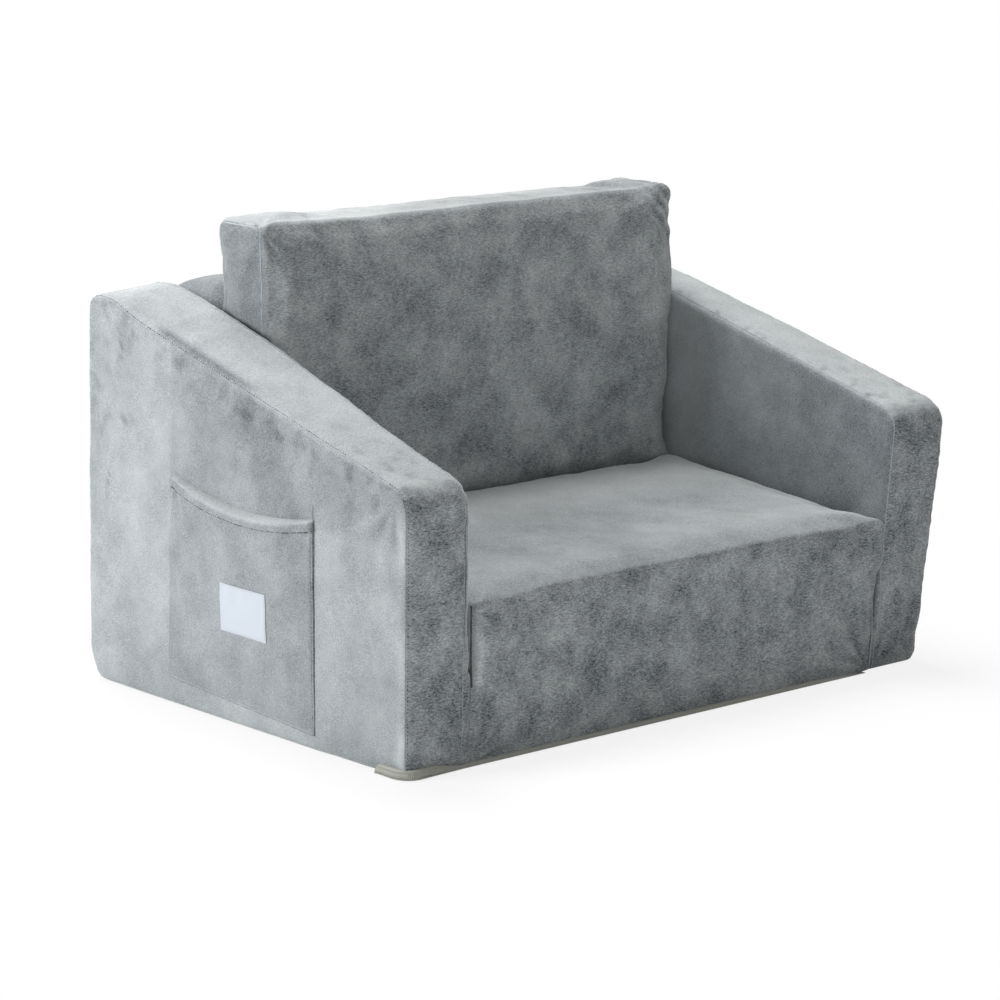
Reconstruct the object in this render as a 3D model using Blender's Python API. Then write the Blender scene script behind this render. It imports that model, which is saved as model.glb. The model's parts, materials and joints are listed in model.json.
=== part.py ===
# Small sofa bed: foam arms, back panel and base in sewn covers, with a seat cushion and a
# back cushion that flip out over the front into a bed.
# Metres, Z up. X runs across the sofa, the front faces minus Y, and the origin is on the
# floor, in the middle between the arms' front and rear faces.

import math

import bmesh
import bpy
from mathutils import Matrix, Vector

# Outside of the sofa
sofa_width = 0.780
sofa_depth = 0.528
arm_thickness = 0.084
arm_rear_height = 0.425
arm_front_height = 0.298
arm_top_flat = 0.036
panel_drop = 0.004
panel_thickness = 0.100

# Sewn cloth, its linings and the air that stays between two pieces
cloth = 0.002
foam_gap = 0.0005
seam_gap = 0.0004
lining = 0.0025
turn_under = 0.022
overrun = 0.010

# Base, and the foam step behind the seat that carries the back cushion
base_height = 0.095
step_setback = 0.012

# Seat cushion and the fabric hinge along its front lower edge
seat_thickness = 0.084
seat_proud = 0.003
seat_rest_gap = 0.0006
cushion_side_gap = 0.003
front_hinge_reach = 0.004
front_hinge_radius = 0.0036

# Back cushion, which leans on the back panel's top edge, and the fabric hinge in the crease
back_height = 0.333
back_thickness = 0.080
back_recline = math.radians(1.5)
crease_gap = 0.0025
crease_lift = 0.0005
crease_radius = 0.0048
back_rest_gap = 0.0006

# How far the stuffed faces swell, and how far the cushions' sides draw in
seat_crown = 0.0095
seat_front_crown = 0.003
back_crown = 0.0065
back_top_crown = 0.004
cushion_draw = 0.002
arm_crown = 0.004
arm_top_crown = 0.003
arm_front_crown = 0.0025
panel_top_crown = 0.003

# Outward lean of the arms' front upper corners
arm_lean = {"left": 0.004, "right": 0.026}

# Edge and corner rounding
arm_edge = 0.007
arm_toe_radius = 0.010
arm_heel_radius = 0.026
arm_crest_radius = 0.012
arm_bend_radius = 0.050
arm_brow_radius = 0.026
block_edge = 0.004
block_corner_radius = 0.005
panel_top_radius = 0.012
base_nose_radius = 0.003
step_inner_radius = 0.002
cushion_edge = 0.008
cushion_corner_radius = 0.014
least_radius = 0.0005
merge_distance = 0.00001

# Lining under the whole sofa
lining_side_inset = 0.004
lining_front_reach = 0.002
lining_rear_inset = 0.016
lining_corner_radius = 0.014

# Pocket on the outer face of the left arm, with its hem and its blank label
pocket_width = 0.250
pocket_front_inset = 0.148
pocket_foot = 0.022
pocket_mouth = 0.249
pocket_sag = 0.016
pocket_depth = 0.010
pocket_cloth = 0.0015
pocket_filled_height = 0.100
hem_height = 0.014
hem_cloth = 0.0024
label_width = 0.074
label_height = 0.052
label_foot = 0.098
label_cloth = 0.0008
label_gap = 0.0003

# Zips, one in the rear face of the back panel and one in each cushion
zip_pitch = 0.008
zip_slot_height = 0.015
tape_gap = 0.0003
tape_cloth = 0.0012
tooth_depth = 0.0022
spine_inner = 0.0016
spine_width = 0.0012
tooth_reach = 0.0010
tooth_root = 0.0029
tooth_tip = 0.0034
slider_length = 0.011
slider_width = 0.0124
slider_wall = 0.0012
slider_lift = 0.0003
bail_length = 0.009
bail_rod = 0.001
bail_width = 0.002
bail_opening = 0.0026
pull_rod = 0.0014
pull_width = 0.007
pull_length = 0.022
pull_shoulder = 0.006
pull_eye_width = 0.0042
panel_zip_length = 0.360
panel_zip_height = 0.110
cushion_zip_length = 0.296
seat_zip_height = 0.042
back_zip_height = 0.050
zip_end_margin = 0.004

# Counts of facets, and shares of a block's length or face at which it has a ring of points
arc_steps = 3
edge_steps = 2
roll_sides = 12
pocket_columns = 10
pocket_rows = 5
label_columns = 3
middle_shares = (0.3, 0.7)
arm_cap_shares = (0.2, 0.5, 0.8)
cushion_cap_shares = (0.12, 0.32, 0.56, 0.8)
fullness_share = 0.5
sharp_angle = math.radians(40)

# Faces and axes that follow from the sizes
front = -sofa_depth / 2
rear = sofa_depth / 2
half_width = sofa_width / 2
inner_half = half_width - arm_thickness
block_half = inner_half - seam_gap
cushion_half = inner_half - cushion_side_gap
panel_front = rear - panel_thickness
panel_height = arm_rear_height - panel_drop
body_floor = lining + seam_gap
seat_floor = base_height + seat_rest_gap
seat_top = seat_floor + seat_thickness
back_rear = crease_gap + back_thickness
front_hinge = Vector((0, front - front_hinge_reach, base_height + seat_rest_gap / 2))

# The reclined cushion rests with its rear face on the panel's rounded top edge
touch_y = panel_front + panel_top_radius * (1 - math.cos(back_recline))
touch_z = panel_height - panel_top_radius * (1 - math.sin(back_recline))
crease_z = seat_top + crease_lift
lean_back = (touch_z - crease_z) * math.tan(back_recline)
crease_y = touch_y - (back_rear + back_rest_gap) / math.cos(back_recline) - lean_back
crease = Vector((0, crease_y, crease_z))
seat_rear = crease_y - crease_gap
step_front = seat_rear + step_setback

# Colours in linear light, with roughness and metallic
velvet_light = ((0.235, 0.230, 0.235), 0.9, 0.0)
velvet_mid = ((0.160, 0.157, 0.162), 0.9, 0.0)
velvet_dark = ((0.105, 0.103, 0.107), 0.9, 0.0)
lining_finish = ((0.115, 0.112, 0.090), 0.8, 0.0)
foam_finish = ((0.72, 0.68, 0.52), 0.95, 0.0)
label_finish = ((0.80, 0.80, 0.78), 0.8, 0.0)
tape_finish = ((0.06, 0.06, 0.065), 0.85, 0.0)
tooth_finish = ((0.04, 0.04, 0.045), 0.45, 0.0)
slider_finish = ((0.35, 0.35, 0.36), 0.35, 1.0)


def new_material(name, finish):
    colour, roughness, metallic = finish
    material = bpy.data.materials.new(name)
    material.use_nodes = True
    shader = material.node_tree.nodes["Principled BSDF"]
    shader.inputs["Base Color"].default_value = (*colour, 1)
    shader.inputs["Roughness"].default_value = roughness
    shader.inputs["Metallic"].default_value = metallic
    material.diffuse_color = (*colour, 1)
    return material


def new_object(name, shape):
    """Turn a bmesh, whose places are world places or its parent's, into an object."""
    bmesh.ops.remove_doubles(shape, verts=shape.verts, dist=merge_distance)
    bmesh.ops.recalc_face_normals(shape, faces=shape.faces)
    mesh = bpy.data.meshes.new(name)
    shape.to_mesh(mesh)
    shape.free()
    piece = bpy.data.objects.new(name, mesh)
    bpy.context.collection.objects.link(piece)
    return piece


def finish_piece(piece, finish, axis=None):
    """Give a piece its material and, where it moves, its origin on the joint's axis."""
    mesh = piece.data
    mesh.materials.append(new_material(piece.name + "_finish", finish))
    mesh.shade_smooth()
    mesh.set_sharp_from_angle(angle=sharp_angle)
    if axis is not None:
        mesh.transform(Matrix.Translation(-axis))
        piece.location = axis
    return piece


def cut(piece, cutter):
    """Take one hidden solid out of a piece with an exact Boolean."""
    cutter.hide_render = True
    cutter.display_type = "WIRE"
    boolean = piece.modifiers.new("cut_" + cutter.name, "BOOLEAN")
    boolean.operation = "DIFFERENCE"
    boolean.solver = "EXACT"
    boolean.object = cutter
    return piece


# Outlines: closed polygons, counter-clockwise, whose edges can be moved inwards


def moved_corners(corners, insets):
    """Corners of the outline after each edge has moved inwards by its own inset."""
    count = len(corners)
    lines = []
    for index in range(count):
        start = Vector(corners[index])
        along = (Vector(corners[(index + 1) % count]) - start).normalized()
        inward = Vector((-along.y, along.x))
        lines.append((start + inward * insets[index], along))
    moved = []
    for index in range(count):
        before, before_along = lines[index - 1]
        after, after_along = lines[index]
        turn = before_along.cross(after_along)
        reach = (after - before).cross(after_along) / turn
        moved.append(before + before_along * reach)
    return moved


def rounded_outline(corners, radii, inset, edge_insets):
    """Points of the outline with rounded corners, as many for any inset."""
    count = len(corners)
    insets = [inset + extra for extra in edge_insets]
    moved = moved_corners(corners, insets)
    arcs = []
    for index in range(count):
        corner = moved[index]
        back_way = (moved[index - 1] - corner).normalized()
        next_way = (moved[(index + 1) % count] - corner).normalized()
        hollow = back_way.cross(next_way) > 0
        own_inset = min(insets[index - 1], insets[index])
        radius = radii[index] + own_inset if hollow else radii[index] - own_inset
        radius = max(radius, least_radius)
        opening = back_way.angle(next_way)
        reach = radius / math.tan(opening / 2)
        centre = corner + (back_way + next_way).normalized() * (radius / math.sin(opening / 2))
        first = corner + back_way * reach - centre
        turn = (math.pi - opening) * (-1 if hollow else 1)
        arcs.append([centre + Matrix.Rotation(turn * step / arc_steps, 2) @ first
                     for step in range(arc_steps + 1)])
    return arcs


def outline_points(corners, radii, inset, edge_insets, spans):
    """Arc points, with each straight edge divided into its number of spans."""
    arcs = rounded_outline(corners, radii, inset, edge_insets)
    points = []
    for index, arc in enumerate(arcs):
        points.extend(arc)
        start = arc[-1]
        end = arcs[(index + 1) % len(arcs)][0]
        for step in range(1, spans[index]):
            points.append(start.lerp(end, step / spans[index]))
    return points


# Blocks: an outline pushed along an axis, with rounded seam edges and swollen faces


def block_rings(block, inset):
    """Rings of (outline point, place along the axis), from the low cap to the high one."""
    low = block["low"] + inset
    high = block["high"] - inset
    edge = max(block["edge"] - inset, least_radius)
    places = []
    for step in range(edge_steps + 1):
        angle = math.pi / 2 * step / edge_steps
        places.append((edge * (1 - math.sin(angle)), edge * (1 - math.cos(angle))))
    middle = [(0, low + edge + (high - low - 2 * edge) * share) for share in block["middle"]]
    rises = [(draw, low + climb) for draw, climb in places]
    falls = [(draw, high - climb) for draw, climb in reversed(places)]
    rings = []
    for draw, place in rises + middle + falls:
        points = outline_points(
            block["corners"], block["radii"], inset + draw, block["edge_insets"], block["spans"]
        )
        rings.append([(point, place) for point in points])
    return rings


def swell(point, block):
    """Move a point of a block outwards with the crown of each of its six faces."""
    shares = []
    for axis in range(3):
        low, high = block["box"][axis]
        share = (2 * point[axis] - low - high) / (high - low)
        shares.append(max(-1, min(1, share)))
    rises = [1 - share * share for share in shares]
    moved = Vector(point)
    for axis in range(3):
        low_crown, high_crown = block["crowns"][axis]
        crown = high_crown if shares[axis] > 0 else low_crown
        rise = rises[axis - 1] * rises[axis - 2]
        moved[axis] += shares[axis] * crown * rise
    return moved


def block_shape(block, inset):
    """Closed skin of a block at an inset from its outer face, as a bmesh."""
    shape = bmesh.new()
    rings = block_rings(block, inset)
    to_space = block["to_space"]
    lean = block.get("lean")

    def add_ring(ring, keep_share):
        middle = sum((point for point, place in ring), Vector((0, 0))) / len(ring)
        verts = []
        for point, place in ring:
            spot = swell(to_space(middle.lerp(point, keep_share), place), block)
            verts.append(shape.verts.new(lean(spot) if lean else spot))
        return verts

    cap_steps = block["cap_shares"]
    low_caps = [add_ring(rings[0], 1 - share) for share in reversed(cap_steps)]
    sides = [add_ring(ring, 1) for ring in rings]
    high_caps = [add_ring(rings[-1], 1 - share) for share in cap_steps]
    skin = low_caps + sides + high_caps
    for lower, upper in zip(skin, skin[1:]):
        for index in range(len(lower)):
            ahead = (index + 1) % len(lower)
            shape.faces.new((lower[index], lower[ahead], upper[ahead]))
            shape.faces.new((lower[index], upper[ahead], upper[index]))
    for cap, ring in ((skin[0], rings[0]), (skin[-1], rings[-1])):
        if not cap_steps:
            shape.faces.new(cap)
            continue
        pole = add_ring(ring, 0)[0]
        for index in range(len(cap)):
            shape.faces.new((cap[index], cap[(index + 1) % len(cap)], pole))
    loose = [vert for vert in shape.verts if not vert.link_faces]
    bmesh.ops.delete(shape, geom=loose, context="VERTS")
    return shape


def along_x(point, place):
    return Vector((place, point.x, point.y))


def along_y(point, place):
    return Vector((point.x, -place, point.y))


def along_z(point, place):
    return Vector((point.x, point.y, place))


def box_shape(low, high):
    shape = bmesh.new()
    size = Vector(high) - Vector(low)
    middle = (Vector(high) + Vector(low)) / 2
    place = Matrix.Translation(middle) @ Matrix.Diagonal((*size, 1))
    bmesh.ops.create_cube(shape, size=1, matrix=place)
    return shape


def sewn_cover(name, block, finish, windows, axis=None, parent=None):
    """Cloth shell of a block, open at its windows, which are the corners of boxes."""
    cover = new_object(name, block_shape(block, 0))
    inside = new_object(name + "_inside", block_shape(block, cloth))
    cutters = [inside]
    for number, (low, high) in enumerate(windows):
        cutters.append(new_object(name + "_window_" + str(number), box_shape(low, high)))
    for cutter in cutters:
        cut(cover, cutter)
        if axis is not None:
            cutter.data.transform(Matrix.Translation(-axis))
            cutter.location = axis
        cutter.parent = parent
    cover.parent = parent
    return finish_piece(cover, finish, axis)


def foam_block(name, block, axis=None, parent=None):
    foam = new_object(name, block_shape(block, cloth + foam_gap))
    foam.parent = parent
    return finish_piece(foam, foam_finish, axis)


# Arms, back panel and base


def arm_block(side, sign):
    """Sloped arm seen from the side, pushed across the sofa by the arm's thickness."""
    inner, outer = sorted((sign * inner_half, sign * half_width))
    corners = (
        (front, body_floor),
        (rear, body_floor),
        (rear, arm_rear_height),
        (rear - arm_top_flat, arm_rear_height),
        (front, arm_front_height),
    )

    def lean(spot):
        ahead = max(0, (panel_front - spot.y) / (panel_front - front))
        shift = arm_lean[side] * ahead * (spot.z - body_floor) / arm_front_height
        return Vector((spot.x + sign * shift, spot.y, spot.z))

    return {
        "corners": corners,
        "radii": (arm_toe_radius, arm_heel_radius, arm_crest_radius, arm_bend_radius, arm_brow_radius),
        "edge_insets": (0, 0, 0, 0, 0),
        "spans": (3, 2, 1, 3, 2),
        "low": inner,
        "high": outer,
        "edge": arm_edge,
        "middle": (fullness_share,),
        "cap_shares": arm_cap_shares,
        "to_space": along_x,
        "lean": lean,
        "box": ((inner, outer), (front, rear), (body_floor, arm_rear_height)),
        "crowns": (
            (arm_crown if sign < 0 else 0, arm_crown if sign > 0 else 0),
            (arm_front_crown, 0),
            (0, arm_top_crown),
        ),
    }


def panel_block():
    corners = (
        (panel_front, body_floor),
        (rear, body_floor),
        (rear, panel_height),
        (panel_front, panel_height),
    )
    return {
        "corners": corners,
        "radii": (block_corner_radius, block_corner_radius, panel_top_radius, panel_top_radius),
        "edge_insets": (0, 0, 0, 0),
        "spans": (1, 1, 2, 1),
        "low": -block_half,
        "high": block_half,
        "edge": block_edge,
        "middle": middle_shares,
        "cap_shares": (),
        "to_space": along_x,
        "box": ((-block_half, block_half), (panel_front, rear), (body_floor, panel_height)),
        "crowns": ((0, 0), (0, 0), (0, panel_top_crown)),
    }


def under_back(place_y):
    """Height of the reclined back cushion's underside above a place on the Y axis."""
    lift = crease.z + crease_gap / math.cos(back_recline)
    return lift - (place_y - crease.y) * math.tan(back_recline)


def base_block():
    """Low base with the step behind the seat, as one stepped outline."""
    step_rear = panel_front - seam_gap
    corners = (
        (front, body_floor),
        (step_rear, body_floor),
        (step_rear, under_back(step_rear) - back_rest_gap),
        (step_front, under_back(step_front) - back_rest_gap),
        (step_front, base_height),
        (front, base_height),
    )
    return {
        "corners": corners,
        "radii": (
            block_corner_radius,
            block_corner_radius,
            block_corner_radius,
            block_corner_radius,
            step_inner_radius,
            base_nose_radius,
        ),
        "edge_insets": (0, 0, 0, 0, 0, 0),
        "spans": (1, 1, 1, 1, 1, 1),
        "low": -block_half,
        "high": block_half,
        "edge": block_edge,
        "middle": (),
        "cap_shares": (),
        "to_space": along_x,
        "box": ((-block_half, block_half), (front, step_rear), (body_floor, base_height)),
        "crowns": ((0, 0), (0, 0), (0, 0)),
    }


def plain_block(corners):
    """Foam block inside the base cover, with the cover's own rounding."""
    return {
        "corners": corners,
        "radii": (block_corner_radius,) * len(corners),
        "edge_insets": (0,) * len(corners),
        "spans": (1,) * len(corners),
        "low": -block_half,
        "high": block_half,
        "edge": block_edge,
        "middle": (),
        "cap_shares": (),
        "to_space": along_x,
        "box": ((-block_half, block_half), (front, rear), (body_floor, panel_height)),
        "crowns": ((0, 0), (0, 0), (0, 0)),
    }


def bottom_window(x_low, x_high, y_low, y_high):
    """Opening under a cover, where the cloth is turned under and the lining closes it."""
    low = (x_low + turn_under, y_low + turn_under, body_floor - overrun)
    high = (x_high - turn_under, y_high - turn_under, body_floor + cloth + foam_gap / 2)
    return low, high


def zip_window(length, face_y, height):
    """Slot for a zip in a cover whose outer face is at face_y and looks backwards."""
    low = (-length / 2 - tape_gap, face_y - cloth - foam_gap / 2, height - zip_slot_height / 2)
    high = (length / 2 + tape_gap, face_y + overrun, height + zip_slot_height / 2)
    return low, high


def build_shell():
    for side, sign in (("left", -1), ("right", 1)):
        block = arm_block(side, sign)
        window = bottom_window(block["low"], block["high"], front, rear - arm_heel_radius)
        sewn_cover(side + "_arm_cover", block, velvet_light, [window])
        foam_block(side + "_arm_foam", block)

    block = panel_block()
    windows = [
        bottom_window(-block_half, block_half, panel_front, rear),
        zip_window(panel_zip_length, rear, panel_zip_height),
    ]
    sewn_cover("back_panel_cover", block, velvet_dark, windows)
    foam_block("back_panel_foam", block)

    step_rear = panel_front - seam_gap
    block = base_block()
    window = bottom_window(-block_half, block_half, front, step_rear)
    sewn_cover("base_cover", block, velvet_mid, [window])
    foam_block("base_foam", plain_block((
        (front, body_floor),
        (step_rear, body_floor),
        (step_rear, base_height),
        (front, base_height),
    )))
    step_floor = base_height - 2 * cloth - foam_gap
    foam_block("rear_step_foam", plain_block((
        (step_front, step_floor),
        (step_rear, step_floor),
        (step_rear, under_back(step_rear) - back_rest_gap),
        (step_front, under_back(step_front) - back_rest_gap),
    )))


def build_lining():
    """Flat lining that closes the covers underneath and rests on the floor."""
    side = half_width - lining_side_inset
    corners = (
        (-side, front - lining_front_reach),
        (side, front - lining_front_reach),
        (side, rear - lining_rear_inset),
        (-side, rear - lining_rear_inset),
    )
    radii = (lining_corner_radius,) * 4
    points = outline_points(corners, radii, 0, (0, 0, 0, 0), (1, 1, 1, 1))
    shape = bmesh.new()
    face = shape.faces.new([shape.verts.new((point.x, point.y, 0)) for point in points])
    raise_faces(shape, [face], Vector((0, 0, lining)))
    finish_piece(new_object("bottom_panel", shape), lining_finish)


def raise_faces(shape, faces, push):
    """Extrude flat faces into a closed solid."""
    result = bmesh.ops.extrude_face_region(shape, geom=faces, use_keep_orig=True)
    raised = [item for item in result["geom"] if isinstance(item, bmesh.types.BMVert)]
    bmesh.ops.translate(shape, verts=raised, vec=push)


# Cushions


def seat_block():
    low_y = front - seat_proud
    corners = (
        (-cushion_half, low_y),
        (cushion_half, low_y),
        (cushion_half, seat_rear),
        (-cushion_half, seat_rear),
    )
    return {
        "corners": corners,
        "radii": (cushion_corner_radius,) * 4,
        "edge_insets": (0, 0, 0, 0),
        "spans": (6, 4, 6, 4),
        "low": seat_floor,
        "high": seat_top,
        "edge": cushion_edge,
        "middle": (fullness_share,),
        "cap_shares": cushion_cap_shares,
        "to_space": along_z,
        "box": ((-cushion_half, cushion_half), (low_y, seat_rear), (seat_floor, seat_top)),
        "crowns": ((-cushion_draw, -cushion_draw), (seat_front_crown, 0), (0, seat_crown)),
    }


def back_block():
    """Back cushion in the frame of its hinge axis, upright, before it is reclined."""
    top = crease_gap + back_height
    corners = (
        (-cushion_half, crease_gap),
        (cushion_half, crease_gap),
        (cushion_half, top),
        (-cushion_half, top),
    )
    return {
        "corners": corners,
        "radii": (cushion_corner_radius,) * 4,
        "edge_insets": (0, 0, 0, 0),
        "spans": (6, 4, 6, 4),
        "low": -back_rear,
        "high": -crease_gap,
        "edge": cushion_edge,
        "middle": (fullness_share,),
        "cap_shares": cushion_cap_shares,
        "to_space": along_y,
        "box": ((-cushion_half, cushion_half), (crease_gap, back_rear), (crease_gap, top)),
        "crowns": ((-cushion_draw, -cushion_draw), (back_crown, 0), (0, back_top_crown)),
    }


def build_cushions(back_axis):
    seat = seat_block()
    slot = zip_window(cushion_zip_length, seat_rear, seat_floor + seat_zip_height)
    sewn_cover("seat_cover", seat, velvet_mid, [slot], axis=front_hinge)
    foam_block("seat_foam", seat, axis=front_hinge)

    back = back_block()
    slot = zip_window(cushion_zip_length, back_rear, crease_gap + back_zip_height)
    sewn_cover("back_cushion_cover", back, velvet_dark, [slot], parent=back_axis)
    foam_block("back_cushion_foam", back, parent=back_axis)


def hinge_roll(name, axis, radius, finish):
    """Rolled seam along a fabric hinge, as long as the cushions are wide."""
    shape = bmesh.new()
    turn = Matrix.Rotation(math.pi / 2, 4, "Y")
    bmesh.ops.create_cone(
        shape,
        cap_ends=True,
        segments=roll_sides,
        radius1=radius,
        radius2=radius,
        depth=2 * (cushion_half - cushion_corner_radius),
        matrix=Matrix.Translation(axis) @ turn,
    )
    finish_piece(new_object(name, shape), finish, axis)


# Pocket on the left arm


def pocket_share(place_y):
    return (place_y - front - pocket_front_inset) / pocket_width


def mouth_height(place_y):
    """Height of the pocket cloth's top edge, under the hem, which sags in the middle."""
    share = pocket_share(place_y)
    return pocket_mouth - hem_height - pocket_sag * 4 * share * (1 - share)


def pocket_reach(place_y, height):
    """How far the pocket's inner face stands off the arm."""
    share = pocket_share(place_y)
    arch = max(0, 4 * share * (1 - share)) ** fullness_share
    climb = max(0, min(1, (height - pocket_foot) / pocket_filled_height))
    return pocket_depth * arch * climb * (2 - climb)


def on_arm(block, place_y, height, reach):
    """Place on the left arm's outer face, moved out by a reach."""
    spot = swell(Vector((-half_width, place_y, height)), block)
    spot = block["lean"](spot)
    return Vector((spot.x - reach, place_y, height))


def sheet_shape(grid, thickness):
    """Closed sheet from a grid of inner-face points, thickened towards minus X."""
    shape = bmesh.new()
    rows = [[shape.verts.new(point) for point in line] for line in grid]
    faces = []
    for lower, upper in zip(rows, rows[1:]):
        for index in range(len(lower) - 1):
            faces.append(shape.faces.new((lower[index], lower[index + 1], upper[index + 1], upper[index])))
    raise_faces(shape, faces, Vector((-thickness, 0, 0)))
    return shape


def build_pocket():
    block = arm_block("left", -1)
    pocket_front = front + pocket_front_inset
    columns = [pocket_front + pocket_width * step / pocket_columns for step in range(pocket_columns + 1)]

    grid = []
    for row in range(pocket_rows + 1):
        line = []
        for place_y in columns:
            height = pocket_foot + (mouth_height(place_y) - pocket_foot) * row / pocket_rows
            reach = seam_gap + pocket_reach(place_y, height)
            line.append(on_arm(block, place_y, height, reach))
        grid.append(line)
    finish_piece(new_object("pocket_panel", sheet_shape(grid, pocket_cloth)), velvet_light)

    grid = []
    for climb in (seam_gap, hem_height):
        line = []
        for place_y in columns:
            height = mouth_height(place_y) + climb
            reach = seam_gap + pocket_reach(place_y, mouth_height(place_y))
            line.append(on_arm(block, place_y, height, reach))
        grid.append(line)
    finish_piece(new_object("pocket_hem", sheet_shape(grid, hem_cloth)), velvet_light)

    label_front = pocket_front + (pocket_width - label_width) / 2
    grid = []
    for height in (label_foot, label_foot + label_height / 2, label_foot + label_height):
        line = []
        for step in range(label_columns + 1):
            place_y = label_front + label_width * step / label_columns
            reach = seam_gap + pocket_reach(place_y, height) + pocket_cloth + label_gap
            line.append(on_arm(block, place_y, height, reach))
        grid.append(line)
    finish_piece(new_object("pocket_label", sheet_shape(grid, label_cloth)), label_finish)


# Zips: moulded teeth on two tapes, a slider with side flanges and, at the back, a pull


def cells_shape(cells, to_space, push):
    """Solid from flat cells, which share their corners, pushed by a vector."""
    shape = bmesh.new()
    for cell in cells:
        shape.faces.new([shape.verts.new(to_space(Vector(corner))) for corner in cell])
    bmesh.ops.remove_doubles(shape, verts=shape.verts, dist=merge_distance)
    bmesh.ops.recalc_face_normals(shape, faces=shape.faces)
    raise_faces(shape, shape.faces[:], push)
    return shape


def cell(u_low, u_high, v_low, v_high):
    return ((u_low, v_low), (u_high, v_low), (u_high, v_high), (u_low, v_high))


def tooth_row(length, sign, offset):
    """Cells of one row: a spine, and teeth with wide heads that reach past the middle."""
    inner = sign * spine_inner
    outer = sign * (spine_inner + spine_width)
    tip = -sign * tooth_reach
    cells = []
    place = -length / 2
    count = int(length / zip_pitch) - 1
    for number in range(count):
        middle = -length / 2 + offset + zip_pitch * (number + 1)
        cells.append(cell(place, middle - tooth_root / 2, inner, outer))
        cells.append(cell(middle - tooth_root / 2, middle + tooth_root / 2, inner, outer))
        cells.append((
            (middle - tooth_root / 2, inner),
            (middle + tooth_root / 2, inner),
            (middle + tooth_tip / 2, tip),
            (middle - tooth_tip / 2, tip),
        ))
        place = middle + tooth_root / 2
    cells.append(cell(place, length / 2, inner, outer))
    return cells


def build_zip(name, length, face_y, height, pulled, axis=None, parent=None):
    """Zip in a rear face at face_y, centred at a height, closed with its slider at plus X."""
    floor_y = face_y - cloth

    def to_face(corner):
        return Vector((corner.x, floor_y, height + corner.y))

    half_slot = zip_slot_height / 2 - tape_gap
    tape_inner = spine_inner + spine_width + tape_gap
    length -= 2 * tape_gap
    for row, sign, offset in (("upper", 1, 0), ("lower", -1, zip_pitch / 2)):
        near, far = sorted((sign * tape_inner, sign * half_slot))
        tape = box_shape(
            (-length / 2, floor_y, height + near),
            (length / 2, floor_y + tape_cloth, height + far),
        )
        tape_piece = new_object(name + "_tape_" + row, tape)
        teeth = cells_shape(tooth_row(length, sign, offset), to_face, Vector((0, tooth_depth, 0)))
        teeth_piece = new_object(name + "_teeth_" + row, teeth)
        tape_piece.parent = parent
        teeth_piece.parent = parent
        finish_piece(tape_piece, tape_finish, axis)
        finish_piece(teeth_piece, tooth_finish, axis)
    build_slider(name, length, floor_y + tooth_depth + slider_lift, height, pulled, parent)


def build_slider(name, length, plate_y, height, pulled, parent):
    slider_x = length / 2 - zip_end_margin - slider_length / 2
    flange_foot = plate_y - tooth_depth + tape_cloth
    half = slider_width / 2
    plate_top = plate_y + slider_wall

    def to_side(corner):
        return Vector((slider_x - slider_length / 2, corner.x, height + corner.y))

    cells = [
        cell(plate_y, plate_top, -half, -half + slider_wall),
        cell(plate_y, plate_top, -half + slider_wall, half - slider_wall),
        cell(plate_y, plate_top, half - slider_wall, half),
        cell(flange_foot, plate_y, -half, -half + slider_wall),
        cell(flange_foot, plate_y, half - slider_wall, half),
    ]
    shape = cells_shape(cells, to_side, Vector((slider_length, 0, 0)))
    slider = new_object(name + "_slider", shape)
    slider.parent = parent
    if pulled:
        bail_top = plate_top + bail_opening
        add_bail(slider, slider_x, plate_top, bail_top, height)
        build_pull(name, slider_x, (plate_top + bail_top) / 2, height)
    finish_piece(slider, slider_finish, Vector((slider_x, plate_y, height)))


def add_bail(slider, slider_x, plate_top, bail_top, height):
    """Join the wire arch that holds the pull to the slider's plate."""
    foot = plate_top - slider_wall / 2
    outer = bail_length / 2
    inner = outer - bail_rod

    def to_side(corner):
        return Vector((slider_x + corner.x, corner.y, height - bail_width / 2))

    cells = [
        cell(-outer, -inner, foot, bail_top),
        cell(inner, outer, foot, bail_top),
        cell(-outer, -inner, bail_top, bail_top + bail_rod),
        cell(-inner, inner, bail_top, bail_top + bail_rod),
        cell(inner, outer, bail_top, bail_top + bail_rod),
    ]
    bail = new_object(slider.name + "_bail", cells_shape(cells, to_side, Vector((0, 0, bail_width))))
    bail.hide_render = True
    bail.display_type = "WIRE"
    join = slider.modifiers.new("join_bail", "BOOLEAN")
    join.operation = "UNION"
    join.solver = "EXACT"
    join.object = bail


def build_pull(name, slider_x, axis_y, height):
    """Flat pull whose rod passes under the bail and turns there."""
    half_rod = pull_rod / 2
    half = pull_width / 2
    eye = pull_eye_width / 2

    def to_plate(corner):
        return Vector((slider_x + corner.x, axis_y - half_rod, height + corner.y))

    cells = []
    for v_low, v_high in ((-half, -eye), (-eye, eye), (eye, half)):
        cells.append(cell(-half_rod, half_rod, v_low, v_high))
        cells.append(cell(pull_shoulder, pull_length, v_low, v_high))
        if v_low == -half or v_high == half:
            cells.append(cell(half_rod, pull_shoulder, v_low, v_high))
    pull = new_object(name + "_pull", cells_shape(cells, to_plate, Vector((0, pull_rod, 0))))
    finish_piece(pull, slider_finish, Vector((slider_x, axis_y, height)))


def build_zips(back_axis):
    build_zip("panel_zip", panel_zip_length, rear, panel_zip_height, True)
    build_zip("seat_zip", cushion_zip_length, seat_rear, seat_floor + seat_zip_height, False,
              axis=front_hinge)
    build_zip("back_zip", cushion_zip_length, back_rear, crease_gap + back_zip_height, False,
              parent=back_axis)


def new_axis(name, place, turn):
    axis = bpy.data.objects.new(name, None)
    axis.empty_display_size = arm_thickness
    axis.location = place
    axis.rotation_euler = (turn, 0, 0)
    bpy.context.collection.objects.link(axis)
    return axis


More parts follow.
